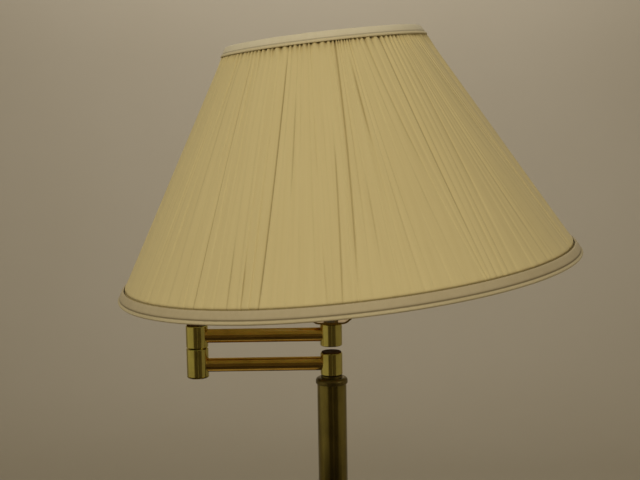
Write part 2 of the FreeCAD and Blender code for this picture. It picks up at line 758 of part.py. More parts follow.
def make_harp():
    """Saddle, bowed wire with its two sleeves, and the crown whose stud carries the shade."""
    half = saddle_thickness / 2
    flat = knuckle_top + half
    foot = flat + (ear_half_span - saddle_flat_half) * math.tan(math.radians(saddle_rise_angle))
    strip_path = bent_path([at(-ear_half_span, 0, ear_top), at(-ear_half_span, 0, foot),
                            at(-saddle_flat_half, 0, flat), at(saddle_flat_half, 0, flat),
                            at(ear_half_span, 0, foot), at(ear_half_span, 0, ear_top)],
                           saddle_bend_radius)
    start = at(-ear_half_span, 0, ear_top)
    corners = [start + at(half * i, saddle_width / 2 * j) for i, j in
               ((-1, -1), (1, -1), (1, 1), (-1, 1), (-1, -1))]
    strip = strip_path.makePipeShell([Part.makePolygon(corners)], True, False)
    strip = strip.cut(rod(stem_radius + seat_clearance, at(z=knuckle_top - 1), at(z=saddle_top + 1)))
    tongues = [rod(ear_tongue_radius, at(x, 0, ear_top - 2 * half),
                   at(x, 0, ear_top + ear_tongue_height)) for x in (-ear_half_span, ear_half_span)]
    saddle = fuse_all([strip] + tongues)

    apex = seat_level - crown_wire_drop
    leg_top = ear_top + harp_leg_height
    bow = leg_top + harp_bow_rise
    side = bow + harp_side_height
    shoulder = apex - harp_shoulder_drop

    def half_route(sign):
        """One side of the bow, from the ear to the crown."""
        return [at(sign * ear_half_span, 0, ear_top), at(sign * ear_half_span, 0, leg_top),
                at(sign * harp_half_width, 0, bow), at(sign * harp_half_width, 0, side),
                at(shade_seat_x + sign * harp_shoulder_half_width, 0, shoulder),
                at(shade_seat_x + sign * harp_crown_half_width, 0, apex)]

    route = half_route(-1) + half_route(1)[::-1]
    wire = wire_along(bent_path(route), harp_wire_radius)
    for x in (-ear_half_span, ear_half_span):
        wire = wire.cut(rod(ear_tongue_radius + seat_clearance, at(x, 0, ear_top),
                            at(x, 0, ear_top + ear_tongue_height + seat_clearance)))

    crown = lathe([
        (0, -crown_depth),
        (crown_neck_radius, -crown_depth),
        (crown_neck_radius, -crown_plate),
        (crown_radius_top, -crown_plate),
        (crown_radius_top, -turning_gap),
        (stud_radius, -turning_gap),
        (stud_radius, stud_height),
        (0, stud_height),
    ])
    crown.rotate(at(), at(z=1), crown_seam)
    wire_hole = wire_along(bent_path(route), harp_wire_radius + seat_clearance)
    sleeve_bore = harp_wire_radius + slide_clearance
    nodes = {"harp_saddle": saddle, "harp_wire": wire, "harp_crown": lean(crown).cut(wire_hole)}
    for name, x in (("harp_sleeve_left", -ear_half_span), ("harp_sleeve_right", ear_half_span)):
        nodes[name] = ring(sleeve_bore + sleeve_wall, sleeve_bore, ear_top, ear_top + sleeve_length, x)
    return nodes


# ------------------------------------------------------------------ shade
def shade_radius(z, inset=0.0):
    """The shade's outer radius at a height in its own frame, less a radial inset."""
    return shade_bottom_radius - shade_slope * (z - bottom_edge) - inset


def cone_band(low, high, outer_inset, wall):
    """A conical band between two heights."""
    return lathe([
        (shade_radius(low, outer_inset + wall), low),
        (shade_radius(low, outer_inset), low),
        (shade_radius(high, outer_inset), high),
        (shade_radius(high, outer_inset + wall), high),
    ])


def pleat_ring(z, crest_inset, depth):
    """The pleats' outline at one height, a crest and a valley for each, unevenly drawn in."""
    points = []
    for index in range(2 * pleat_count):
        angle = math.pi * index / pleat_count
        uneven = math.sin(5 * angle) * math.sin(17 * angle + 1.3) + math.sin(31 * angle + 0.4)
        fold = depth * (1 - fold_variation * 0.5 * (1 + 0.5 * uneven))
        inset = crest_inset + (fold if index % 2 else depth - fold)
        radius = shade_radius(z, inset)
        points.append(at(radius * math.cos(angle), radius * math.sin(angle), z))
    return Part.makePolygon(points + points[:1])


def make_shade():
    """Wire frame, lining, pleated cover, the two trims and the finial's seat."""
    trim_inset = trim_roll_stand_out
    pleat_inset = trim_inset + trim_wall + soft_clearance
    deepest = max(pleat_depth_bottom, pleat_depth_top)
    cover_inner = pleat_inset + deepest + pleat_backing
    lining_inset = cover_inner + seat_clearance
    frame_inset = lining_inset + lining_wall + seat_clearance
    low = bottom_edge + edge_turn
    high = top_edge - edge_turn

    pleats = Part.makeLoft([pleat_ring(low, pleat_inset, pleat_depth_bottom),
                            pleat_ring(high, pleat_inset, pleat_depth_top)], True, True)
    hollow = lathe([
        (0, low - 1),
        (shade_radius(low - 1, cover_inner), low - 1),
        (shade_radius(high + 1, cover_inner), high + 1),
        (0, high + 1),
    ])

    def trim(edge, edge_side, height):
        """A cloth band with a piped lower edge, turned over the shade's edge."""
        near = edge + edge_side * edge_turn
        far = edge + edge_side * height
        band = cone_band(min(edge, far), max(edge, far), trim_inset, trim_wall)
        turn_in = frame_inset - trim_inset
        lip = cone_band(min(edge, near), max(edge, near), trim_inset, turn_in)
        roll_level = min(edge, far) + trim_roll_radius
        roll = Part.makeTorus(shade_radius(roll_level, trim_roll_radius), trim_roll_radius,
                              at(z=roll_level))
        behind = cone_band(roll_level - 2 * trim_roll_radius, roll_level + 2 * trim_roll_radius,
                           trim_inset + trim_wall, 4 * trim_roll_radius)
        return fuse_all([band, lip, roll.cut(behind)])

    def frame_ring(edge, edge_side):
        """A wire ring against the lining, just inside the edge."""
        level = edge + edge_side * (edge_turn + frame_wire_radius + seat_clearance)
        contact = frame_inset + frame_wire_radius * math.hypot(1, shade_slope)
        return level, shade_radius(level, contact)

    bottom_level, bottom_radius = frame_ring(bottom_edge, 1)
    top_level, top_radius = frame_ring(top_edge, -1)
    wire_level = hub_thickness / 2
    spider = [Part.makeTorus(top_radius, frame_wire_radius, at(z=top_level)),
              rod(hub_radius, at(), at(z=hub_thickness))]
    for index in range(spider_arms):
        arm_path = bent_path([at(hub_radius - 1, 0, wire_level),
                              at(top_radius - spider_rise_run, 0, wire_level),
                              at(top_radius, 0, top_level)])
        arm = wire_along(arm_path, min(frame_wire_radius, 0.98 * hub_thickness / 2))
        arm.rotate(at(), at(z=1), spider_first_angle + 360 * index / spider_arms)
        spider.append(arm)
    hub_hole = rod(stud_radius + hub_hole_play, at(z=-1), at(z=hub_thickness + 1))

    finial_low = hub_thickness + turning_gap
    finial_top = finial_low + finial_height
    ball = finial_top - finial_ball_radius
    waist_to_ball = math.sqrt(finial_ball_radius ** 2 - finial_waist_radius ** 2)
    bore_top = stud_height + seat_clearance
    finial = lathe([
        (0, bore_top),
        (stud_radius + running_clearance, bore_top),
        (stud_radius + running_clearance, finial_low),
        (finial_foot_radius, finial_low),
        (finial_foot_radius, finial_low + finial_foot_height),
        (finial_waist_radius, finial_low + finial_foot_height + finial_taper),
        (finial_waist_radius, ball - waist_to_ball),
        (0, finial_top, finial_ball_radius, ball),
    ])
    shade = {
        "shade_spider": fuse_all(spider).cut(hub_hole),
        "bottom_ring": Part.makeTorus(bottom_radius, frame_wire_radius, at(z=bottom_level)),
        "shade_lining": cone_band(low, high, lining_inset, lining_wall),
        "pleated_cover": pleats.cut(hollow),
        "bottom_trim": trim(bottom_edge, 1, bottom_trim_height),
        "top_trim": trim(top_edge, -1, top_trim_height),
        "finial": finial,
    }
    return {name: lean(shape) for name, shape in shade.items()}


# ------------------------------------------------------------------ the whole lamp
def make_lamp():
    """Every piece of the lamp, by name."""
    nodes = {}
    for make in (make_base, make_pole, make_lower_arm, make_upper_arm, make_socket, make_bulb,
                 make_harp, make_shade):
        nodes.update(make())
    return nodes


os.makedirs("parts", exist_ok=True)
for node, shape in make_lamp().items():
    shape.exportStep("parts/" + node + ".step")
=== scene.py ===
"""Dressing of a bridge floor lamp: gathered empire shade, folded brass arms and a brass column.

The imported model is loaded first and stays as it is. Rigid nodes get procedural finishes, and every
soft solid (gathered cover, trims, lining and felt) is replaced by a detailed piece built here in
mesh code. All sizes in the classes are in millimetres unless a field says otherwise, and one
constant turns them to metres.
"""
import logging
import math
from dataclasses import dataclass, field, replace
from enum import Enum
from typing import Any, Sequence

import bpy
import numpy as np
from mathutils import Matrix, Vector


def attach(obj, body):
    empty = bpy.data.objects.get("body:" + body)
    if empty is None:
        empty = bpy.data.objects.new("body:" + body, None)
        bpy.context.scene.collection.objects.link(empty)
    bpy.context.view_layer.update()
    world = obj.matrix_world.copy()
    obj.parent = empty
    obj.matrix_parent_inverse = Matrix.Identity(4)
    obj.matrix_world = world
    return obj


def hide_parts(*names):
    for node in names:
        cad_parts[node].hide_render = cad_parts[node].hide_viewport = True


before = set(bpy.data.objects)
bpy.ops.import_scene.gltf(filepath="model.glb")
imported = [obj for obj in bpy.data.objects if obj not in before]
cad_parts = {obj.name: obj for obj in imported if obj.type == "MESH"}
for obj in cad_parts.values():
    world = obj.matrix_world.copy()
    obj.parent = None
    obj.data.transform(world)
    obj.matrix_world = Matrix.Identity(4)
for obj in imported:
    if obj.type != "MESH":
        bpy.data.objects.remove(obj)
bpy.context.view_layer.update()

MM = 0.001
TURN = 2.0 * math.pi
FLAT_UV = "flat"        # map of each cloth's position on its flat strip, in metres
# The fold attribute holds painted shade: it darkens the cloth's colour in folds and grooves.
PAINTED_FOLD_SHADE = "fold"     # how far a point lies in the shade of a fold or groove, 0 to 1

log = logging.getLogger("floor_lamp")


# --------------------------------------------------------------------------- small helpers
def linear(hex_colour: str) -> tuple[float, float, float, float]:
    """Turn an sRGB hex colour into a linear RGBA colour.

    Args:
        hex_colour: Colour such as "#C8A24B".

    Returns:
        The linear red, green and blue values, and an alpha of one.
    """
    parts = [int(hex_colour[i:i + 2], 16) / 255.0 for i in (1, 3, 5)]
    made = [c / 12.92 if c <= 0.04045 else ((c + 0.055) / 1.055) ** 2.4 for c in parts]
    return made[0], made[1], made[2], 1.0


def per_metre(size_mm: float) -> float:
    """Return the texture scale, in repeats per metre, of a pattern whose repeat is size_mm."""
    return 1.0 / (size_mm * MM)


def add_node(tree: bpy.types.NodeTree, kind: str, inputs: dict[Any, Any] | None = None,
             **settings: Any) -> bpy.types.Node:
    """Add one node with its settings, and link or set its inputs.

    Args:
        tree: Node tree that gets the node.
        kind: Blender's type name of the node.
        inputs: Input name or number to a socket, which is linked, or a plain value, which is set.
        **settings: Properties of the node itself.

    Returns:
        The new node.
    """
    node = tree.nodes.new(kind)
    for name, value in settings.items():
        setattr(node, name, value)
    for key, value in (inputs or {}).items():
        if isinstance(value, bpy.types.NodeSocket):
            tree.links.new(value, node.inputs[key])
        else:
            node.inputs[key].default_value = value
    return node


def grid_faces(columns: int, rows: int, closed: bool) -> list[tuple[int, int, int, int]]:
    """List the quads of a grid of points stored row by row.

    Args:
        columns: Points in each row.
        rows: Number of rows.
        closed: Whether the last column joins the first.

    Returns:
        Vertex numbers of each quad.
    """
    faces = []
    across = columns if closed else columns - 1
    for row in range(rows - 1):
        low, high = row * columns, (row + 1) * columns
        for col in range(across):
            nxt = (col + 1) % columns
            faces.append((low + col, low + nxt, high + nxt, high + col))
    return faces


def mesh_piece(name: str, points: np.ndarray, faces: Sequence[Sequence[int]],
               uv: np.ndarray | None = None) -> bpy.types.Object:
    """Make a smooth mesh object from points and faces and put it in the scene.

    Args:
        name: Name of the piece.
        points: Points in metres, in the lamp's frame, one row each.
        faces: Vertex numbers of each face.
        uv: Position on the flat material of each corner, in metres, in the faces' order.

    Returns:
        The new object.
    """
    mesh = bpy.data.meshes.new(name)
    mesh.from_pydata(np.asarray(points, float).tolist(), [], [tuple(f) for f in faces])
    mesh.polygons.foreach_set("use_smooth", [True] * len(mesh.polygons))
    if uv is not None:
        layer = mesh.uv_layers.new(name=FLAT_UV)
        layer.data.foreach_set("uv", np.asarray(uv, np.float32).ravel())
    mesh.validate()
    mesh.update()
    made = bpy.data.objects.new(name, mesh)
    bpy.context.scene.collection.objects.link(made)
    return made


def corner_uv(faces: Sequence[Sequence[int]], flat: np.ndarray) -> np.ndarray:
    """Spread flat positions given per point over the corners of the faces."""
    return flat[np.asarray(faces, int).ravel()]


def paint_fold_shade(piece: bpy.types.Object, shade: np.ndarray) -> None:
    """Store on each point the painted shade of a fold, 0 to 1, which darkens the cloth's colour."""
    held = piece.data.attributes.new(PAINTED_FOLD_SHADE, "FLOAT", "POINT")
    held.data.foreach_set("value", shade.astype(np.float32).ravel())


def smoothstep(low: float, high: float, value: Any) -> Any:
    """Return the smooth step from zero at low to one at high."""
    share = np.clip((value - low) / (high - low), 0.0, 1.0)
    return share * share * (3.0 - 2.0 * share)


# --------------------------------------------------------------------------- finishes
class Grain(Enum):
    """Direction in which a metal surface was worked, as texture stretch along x, y and z."""

    LONG_Z = (1.0, 1.0, 0.02)
    LONG_X = (0.02, 1.0, 1.0)
    TURNED = (0.03, 0.03, 1.0)
    EVEN = (1.0, 1.0, 1.0)


@dataclass(frozen=True)
class Finish:
    """A material that is built once and shared by the pieces that have it."""

    name: str

    def material(self) -> bpy.types.Material:
        """Find the finish's material, or make it on first use.

        Returns:
            The Blender material.
        """
        made = bpy.data.materials.get(self.name)
        if made is None:
            made = bpy.data.materials.new(self.name)
            made.use_nodes = True
            tree = made.node_tree
            tree.nodes.clear()
            shader = add_node(tree, "ShaderNodeBsdfPrincipled", self.surface(tree))
            add_node(tree, "ShaderNodeOutputMaterial", {"Surface": shader.outputs["BSDF"]})
        return made

    def surface(self, tree: bpy.types.NodeTree) -> dict[str, Any]:
        """Build the finish's patterns and return the inputs of its shader."""
        raise NotImplementedError

    def apply(self, piece: bpy.types.Object) -> None:
        """Give the piece this finish on all its slots.

        Args:
            piece: Object that gets the finish.
        """
        if piece.material_slots:
            for held in piece.material_slots:
                held.material = self.material()
        else:
            piece.data.materials.append(self.material())


@dataclass(frozen=True)
class MetalFinish(Finish):
    """A worked metal surface: polish lines, handling marks and tarnish in cloudy patches."""

    colour: str = "#D6B25E"
    tarnish_colour: str = "#7A5C28"
    tarnish: float = 0.35
    roughness: tuple[float, float] = (0.10, 0.22)
    patch_mm: float = 26.0
    speck_mm: float = 2.2
    line_mm: float = 0.8
    line_depth_mm: float = 0.004
    grain: Grain = Grain.EVEN
    coat: float = 0.0

    def surface(self, tree: bpy.types.NodeTree) -> dict[str, Any]:
        """Build patches and polish lines, both in the lamp's own coordinates.

        Args:
            tree: Node tree of the material.

        Returns:
            Input name to value or socket, for the shader.
        """
        place = add_node(tree, "ShaderNodeTexCoord").outputs["Object"]
        patches = add_node(tree, "ShaderNodeTexNoise", {
            "Vector": place, "Scale": per_metre(self.patch_mm), "Detail": 5.0, "Roughness": 0.62})
        dulled = add_node(tree, "ShaderNodeMapRange", {
            "Value": patches.outputs["Fac"], "From Min": 0.42, "From Max": 0.72,
            "To Min": 0.0, "To Max": self.tarnish})
        specks = add_node(tree, "ShaderNodeTexNoise", {
            "Vector": place, "Scale": per_metre(self.speck_mm), "Detail": 3.0, "Roughness": 0.7})
        spotted = add_node(tree, "ShaderNodeMapRange", {
            "Value": specks.outputs["Fac"], "From Min": 0.64, "From Max": 0.78,
            "To Min": 0.0, "To Max": self.tarnish * 0.6})
        aged = add_node(tree, "ShaderNodeMath", {
            0: dulled.outputs["Result"], 1: spotted.outputs["Result"]},
            operation="ADD", use_clamp=True)
        colour = add_node(tree, "ShaderNodeMix", {
            0: aged.outputs[0], 6: linear(self.colour), 7: linear(self.tarnish_colour)},
            data_type="RGBA")
        stretched = add_node(tree, "ShaderNodeMapping", {
            "Vector": place, "Scale": self.grain.value})
        lines = add_node(tree, "ShaderNodeTexNoise", {
            "Vector": stretched.outputs["Vector"], "Scale": per_metre(self.line_mm),
            "Detail": 2.0, "Roughness": 0.5})
        mixed = add_node(tree, "ShaderNodeMix", {
            0: 0.35, 2: patches.outputs["Fac"], 3: lines.outputs["Fac"]}, data_type="FLOAT")
        rough = add_node(tree, "ShaderNodeMapRange", {
            "Value": mixed.outputs[0], "From Min": 0.3, "From Max": 0.7,
            "To Min": self.roughness[0], "To Max": self.roughness[1]})
        relief = add_node(tree, "ShaderNodeBump", {
            "Height": lines.outputs["Fac"], "Strength": 0.6,
            "Distance": self.line_depth_mm * MM})
        return {"Base Color": colour.outputs[2], "Metallic": 1.0,
                "Roughness": rough.outputs["Result"], "Normal": relief.outputs["Normal"],
                "Coat Weight": self.coat, "Coat Roughness": 0.08}


@dataclass(frozen=True)
class MouldedFinish(Finish):
    """A moulded, cast or pressed surface with fine texture and slight colour drift."""

    colour: str = "#1C1A17"
    drift_colour: str = "#2A2620"
    roughness: tuple[float, float] = (0.4, 0.55)
    grit_mm: float = 1.2
    grit_depth_mm: float = 0.03
    drift_mm: float = 14.0
    specular: float = 0.5
    subsurface: float = 0.0

    def surface(self, tree: bpy.types.NodeTree) -> dict[str, Any]:
        """Build the grit and the colour drift.

        Args:
            tree: Node tree of the material.

        Returns:
            Input name to value or socket, for the shader.
        """
        place = add_node(tree, "ShaderNodeTexCoord").outputs["Object"]
        grit = add_node(tree, "ShaderNodeTexNoise", {
            "Vector": place, "Scale": per_metre(self.grit_mm), "Detail": 4.0, "Roughness": 0.6})
        drift = add_node(tree, "ShaderNodeTexNoise", {
            "Vector": place, "Scale": per_metre(self.drift_mm), "Detail": 3.0})
        colour = add_node(tree, "ShaderNodeMix", {
            0: drift.outputs["Fac"], 6: linear(self.colour), 7: linear(self.drift_colour)},
            data_type="RGBA")
        rough = add_node(tree, "ShaderNodeMapRange", {
            "Value": grit.outputs["Fac"], "From Min": 0.3, "From Max": 0.7,
            "To Min": self.roughness[0], "To Max": self.roughness[1]})
        relief = add_node(tree, "ShaderNodeBump", {
            "Height": grit.outputs["Fac"], "Strength": 0.7, "Distance": self.grit_depth_mm * MM})
        return {"Base Color": colour.outputs[2], "Roughness": rough.outputs["Result"],
                "Normal": relief.outputs["Normal"], "Specular IOR Level": self.specular,
                "Subsurface Weight": self.subsurface, "Subsurface Scale": 0.002}


@dataclass(frozen=True)
class ClothFinish(Finish):
    """Woven cloth whose patterns run with its threads, on its flat position in metres."""

    colour: str = "#EBDCA9"
    shade_colour: str = "#D9C48A"
    thread_mm: float = 0.8
    thread_depth_mm: float = 0.05
    streak_mm: float = 1.6
    streak_run_mm: float = 55.0
    streak_depth_mm: float = 0.12
    sheen: float = 0.25
    roughness: float = 0.8
    stain: float = 0.25
    streak: float = 0.28
    age_mm: float = 70.0
    # painted shade: the colour that folds and grooves are darkened towards
    fold_shade_colour: str = "#8F7B45"

    def surface(self, tree: bpy.types.NodeTree) -> dict[str, Any]:
        """Build threads, lengthwise streaks, slow changes of colour with age, and painted fold
        shade.

        Args:
            tree: Node tree of the material.

        Returns:
            Input name to value or socket, for the shader.
        """
        flat = add_node(tree, "ShaderNodeUVMap", uv_map=FLAT_UV).outputs["UV"]
        run = (per_metre(self.streak_mm), per_metre(self.streak_run_mm), 1.0)
        along = add_node(tree, "ShaderNodeMapping", {"Vector": flat, "Scale": run})
        streaks = add_node(tree, "ShaderNodeTexNoise", {
            "Vector": along.outputs["Vector"], "Scale": 1.0, "Detail": 3.0, "Roughness": 0.6},
            noise_dimensions="2D")
        warp, weft = (add_node(tree, "ShaderNodeTexWave", {
            "Vector": flat, "Scale": per_metre(self.thread_mm) / TURN * 2.0,
            "Distortion": 0.6, "Detail": 1.0}, bands_direction=way) for way in "XY")
        weave = add_node(tree, "ShaderNodeMath", {
            0: warp.outputs["Fac"], 1: weft.outputs["Fac"]}, operation="ADD")
        age = add_node(tree, "ShaderNodeTexNoise", {
            "Vector": flat, "Scale": per_metre(self.age_mm), "Detail": 3.0, "Roughness": 0.5},
            noise_dimensions="2D")
        aged = add_node(tree, "ShaderNodeMapRange", {
            "Value": age.outputs["Fac"], "From Min": 0.38, "From Max": 0.7,
            "To Min": 0.0, "To Max": self.stain})
        lined = add_node(tree, "ShaderNodeMapRange", {
            "Value": streaks.outputs["Fac"], "From Min": 0.35, "From Max": 0.65,
            "To Min": self.streak, "To Max": 0.0})
        share = add_node(tree, "ShaderNodeMath", {
            0: aged.outputs["Result"], 1: lined.outputs["Result"]},
            operation="ADD", use_clamp=True)
        plain = add_node(tree, "ShaderNodeMix", {
            0: share.outputs[0], 6: linear(self.colour), 7: linear(self.shade_colour)},
            data_type="RGBA")
        # painted shade: the fold attribute darkens the cloth towards the fold shade colour
        painted_shade_share = add_node(tree, "ShaderNodeAttribute", attribute_name=PAINTED_FOLD_SHADE,
                        attribute_type="GEOMETRY").outputs["Fac"]
        colour = add_node(tree, "ShaderNodeMix", {
            0: painted_shade_share, 6: plain.outputs[2], 7: linear(self.fold_shade_colour)}, data_type="RGBA")
        folds = add_node(tree, "ShaderNodeBump", {
            "Height": streaks.outputs["Fac"], "Strength": 0.8,
            "Distance": self.streak_depth_mm * MM})
        threads = add_node(tree, "ShaderNodeBump", {
            "Height": weave.outputs[0], "Strength": 0.5, "Distance": self.thread_depth_mm * MM,
            "Normal": folds.outputs["Normal"]})
        return {"Base Color": colour.outputs[2], "Roughness": self.roughness,
                "Specular IOR Level": 0.25, "Sheen Weight": self.sheen,
                "Sheen Roughness": 0.45, "Normal": threads.outputs["Normal"]}


@dataclass(frozen=True)
class OpalGlassFinish(Finish):
    """Soft white coated lamp glass: the powder inside hides the lamp's works."""

    colour: str = "#F3EFE4"
    powder_colour: str = "#E4DECF"
    powder_mm: float = 9.0

    def surface(self, tree: bpy.types.NodeTree) -> dict[str, Any]:
        """Build the faint unevenness of the powder coat.

        Args:
            tree: Node tree of the material.

        Returns:
            Input name to value or socket, for the shader.
        """
        place = add_node(tree, "ShaderNodeTexCoord").outputs["Object"]
        powder = add_node(tree, "ShaderNodeTexNoise", {
            "Vector": place, "Scale": per_metre(self.powder_mm), "Detail": 4.0})
        colour = add_node(tree, "ShaderNodeMix", {
            0: powder.outputs["Fac"], 6: linear(self.colour), 7: linear(self.powder_colour)},
            data_type="RGBA")
        rough = add_node(tree, "ShaderNodeMapRange", {
            "Value": powder.outputs["Fac"], "From Min": 0.3, "From Max": 0.7,
            "To Min": 0.16, "To Max": 0.26})
        return {"Base Color": colour.outputs[2], "Roughness": rough.outputs["Result"],
                "Subsurface Weight": 0.4, "Subsurface Scale": 0.004,
                "Coat Weight": 0.6, "Coat Roughness": 0.05}


# Lacquered brass, buffed: bright yellow mirror with soft cloudy dulling where hands have been.
POLISHED_BRASS = MetalFinish("lacquered_polished_brass", colour="#D9B45C",
                             tarnish_colour="#8A6628", tarnish=0.35, roughness=(0.07, 0.17),
                             grain=Grain.EVEN, coat=0.3)
# The same brass drawn as tube along X: its polish lines run along the arms.
BRASS_ARM_TUBE = MetalFinish("drawn_brass_arm_tube", colour="#ECC462",
                             tarnish_colour="#987026", tarnish=0.35, roughness=(0.07, 0.16),
                             grain=Grain.LONG_X, coat=0.08)
# Turned brass knuckles: faint rings round them from the lathe and the buffing wheel.
TURNED_BRASS = MetalFinish("turned_polished_brass", colour="#D2C468",
                           tarnish_colour="#6E6224", tarnish=0.3, roughness=(0.05, 0.13),
                           grain=Grain.TURNED, coat=0.2)
# Antique brass plate on steel tube: browner, with a duller shine and fine lines along the pole.
ANTIQUE_BRASS = MetalFinish("antique_brass_plated_tube", colour="#8E8040",
                            tarnish_colour="#463C1B", tarnish=0.5, roughness=(0.12, 0.24),
                            grain=Grain.LONG_Z, patch_mm=40.0, coat=0.1)
# Spun antique brass of the base: rings from spinning, darker in the hollows.
SPUN_BRASS = MetalFinish("spun_antique_brass", colour="#94773E",
                         tarnish_colour="#50401F", tarnish=0.55, roughness=(0.18, 0.34),
                         grain=Grain.TURNED, patch_mm=45.0, line_mm=1.1, coat=0.15)
# Oil rubbed bronze of the pole's cap: dark olive brown that catches a soft edge light.
DARK_BRONZE = MetalFinish("oil_rubbed_bronze", colour="#7C6E3C", tarnish_colour="#3E3519",
                          tarnish=0.6, roughness=(0.28, 0.42), grain=Grain.TURNED, patch_mm=8.0)
# Discs on the knuckles' ends, dull dark golden brown with next to no shine: painted dark reflection,
# standing in for the dark surroundings their polished tops mirror.
DARK_REFLECTION_DISC = MouldedFinish("painted_dark_reflection_disc", colour="#664718", drift_colour="#4C3412",
                               roughness=(0.7, 0.85), grit_mm=0.8, grit_depth_mm=0.01,
                               drift_mm=6.0, specular=0.08)
# Zinc plated steel of wire, nuts and stems: cool grey with a slight yellow cast.
PLATED_STEEL = MetalFinish("zinc_plated_steel", colour="#B9B5A6", tarnish_colour="#7E7660",
                           tarnish=0.4, roughness=(0.22, 0.4), grain=Grain.EVEN, patch_mm=9.0)
# Cast iron weight under the cover: coarse sand-cast skin, nearly matt.
CAST_IRON = MouldedFinish("sand_cast_iron", colour="#34312D", drift_colour="#4A3A2C",
                          roughness=(0.6, 0.85), grit_mm=2.2, grit_depth_mm=0.25, drift_mm=22.0)
# Soft black rubber bush in the cord inlet: matt with a dusty bloom.
BUSH_RUBBER = MouldedFinish("moulded_black_rubber", colour="#191817", drift_colour="#272523",
                            roughness=(0.6, 0.75), grit_mm=0.9, specular=0.35)
# Phenolic of terminal block, socket body and knob: dark brown-black, hard and fairly glossy.
PHENOLIC = MouldedFinish("moulded_phenolic", colour="#1B1512", drift_colour="#241C17",
                         roughness=(0.22, 0.34), grit_mm=1.6, grit_depth_mm=0.01)
# Vulcanised card liner of the socket: dull tan-grey board.
LINER_CARD = MouldedFinish("vulcanised_card", colour="#8C8068", drift_colour="#796C54",
                           roughness=(0.75, 0.9), grit_mm=1.0, grit_depth_mm=0.05)
# Fibre washers at the pivots: tan pressed fibre gone brassy with wear.
FIBRE = MouldedFinish("pressed_fibre", colour="#8A743C", drift_colour="#6F5B2E",
                      roughness=(0.6, 0.75), grit_mm=0.9, grit_depth_mm=0.03)
# PVC sheath of the inner leads: gold-brown, half matt.
LEAD_SHEATH = MouldedFinish("pvc_lead_sheath", colour="#8A7238", drift_colour="#7C652F",
                            roughness=(0.35, 0.5), grit_mm=2.5, grit_depth_mm=0.02)
# Styrene sheet behind the cloth: smooth off-white plastic that glows a little at its edges.
STYRENE = MouldedFinish("styrene_lining_sheet", colour="#EFE7CF", drift_colour="#E6DCBD",
                        roughness=(0.32, 0.46), grit_mm=3.0, grit_depth_mm=0.03,
                        drift_mm=60.0, subsurface=0.25)
# Wool felt under the base: matt green-brown nap with loose fibres.
WOOL_FELT = MouldedFinish("wool_felt", colour="#3C4431", drift_colour="#2F3526",
                          roughness=(0.92, 1.0), grit_mm=1.4, grit_depth_mm=0.35, specular=0.1)
# Gathered chiffon over the shade: cream gone yellow, soft sheen, fine lengthwise streaks. Its real
# threads of about 0.2 mm are too fine to show, so they are drawn at 0.9 mm.
GATHERED_CHIFFON = ClothFinish("gathered_cream_chiffon", colour="#E8D9A1",
                               shade_colour="#D2C084", thread_mm=0.9, thread_depth_mm=0.015,
                               streak_mm=3.0, streak_run_mm=140.0, streak_depth_mm=0.04,
                               sheen=0.15, stain=0.10, streak=0.12, age_mm=160.0)
# Plain woven trim band: greyer than the chiffon, with painted shade in the groove where its
# piping starts and on its inner side.
TRIM_BAND = ClothFinish("woven_trim_band", colour="#CBBE9B", shade_colour="#B5A780",
                        thread_mm=0.8, thread_depth_mm=0.03, streak_mm=5.0, streak_run_mm=9.0,
                        streak_depth_mm=0.03, sheen=0.1, stain=0.2, streak=0.15,
                        fold_shade_colour="#5E5234")
# Piping wrapped in the same cloth: threads slant round the roll; painted groove shade as on the
# band.
TRIM_PIPING = ClothFinish("wrapped_trim_piping", colour="#D3C7A0", shade_colour="#B9AB80",
                          thread_mm=0.9, thread_depth_mm=0.04, streak_mm=3.0, streak_run_mm=4.0,
                          streak_depth_mm=0.03, sheen=0.1, stain=0.2, streak=0.15,
                          fold_shade_colour="#5E5234")
# The same cloth round the top in a paler colour: the palest cloth on the shade.
TOP_BAND = replace(TRIM_BAND, name="woven_top_band", colour="#EDE6CB", shade_colour="#DDD2AC")
TOP_PIPING = replace(TRIM_PIPING, name="wrapped_top_piping", colour="#E6DBB4",
                     shade_colour="#D0C194")
OPAL_GLASS = OpalGlassFinish("opal_coated_glass")


def dress_nodes(finishes: dict[str, Finish]) -> None:
    """Give CAD nodes their finishes.

    Args:
        finishes: Node name to finish.
    """
    for node, finish in finishes.items():
        finish.apply(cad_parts[node])
        log.info("node %s: %s", node, finish.name)


# --------------------------------------------------------------------------- camera and studio
@dataclass
class PhotoCamera:
    """Camera at the photograph's viewing angle; the image is taken as 640 by 480."""

    place_m: tuple[float, float, float] = (0.0, -0.868, 1.3695)
    yaw: float = -0.54
    pitch: float = 6.29
    roll: float = -0.94
    focal_px: float = 1025.0
    image_width: int = 640
    sensor: float = 36.0
    near_m: float = 0.02
    far_m: float = 60.0

    def build(self) -> bpy.types.Object:
        """Create the camera and make it the scene's own.

        Returns:
            The camera.
        """
        data = bpy.data.cameras.new("photo_camera")
        data.sensor_width = self.sensor
        data.lens = self.focal_px / self.image_width * self.sensor
        data.clip_start = self.near_m
        data.clip_end = self.far_m
        yaw, pitch, roll = (math.radians(a) for a in (self.yaw, self.pitch, self.roll))
        ahead = Vector((math.sin(yaw) * math.cos(pitch), math.cos(yaw) * math.cos(pitch),
                        -math.sin(pitch)))
        level = Vector((math.cos(yaw), -math.sin(yaw), 0.0))
        above = level.cross(ahead)
        right = math.cos(roll) * level + math.sin(roll) * above
        up = -math.sin(roll) * level + math.cos(roll) * above
        turn = Matrix((right, up, -ahead)).transposed().to_4x4()
        made = bpy.data.objects.new("photo_camera", data)
        made.matrix_world = Matrix.Translation(Vector(self.place_m)) @ turn
        bpy.context.scene.collection.objects.link(made)
        bpy.context.scene.camera = made
        log.info("camera at %s, lens %.2f mm", self.place_m, data.lens)
        return made


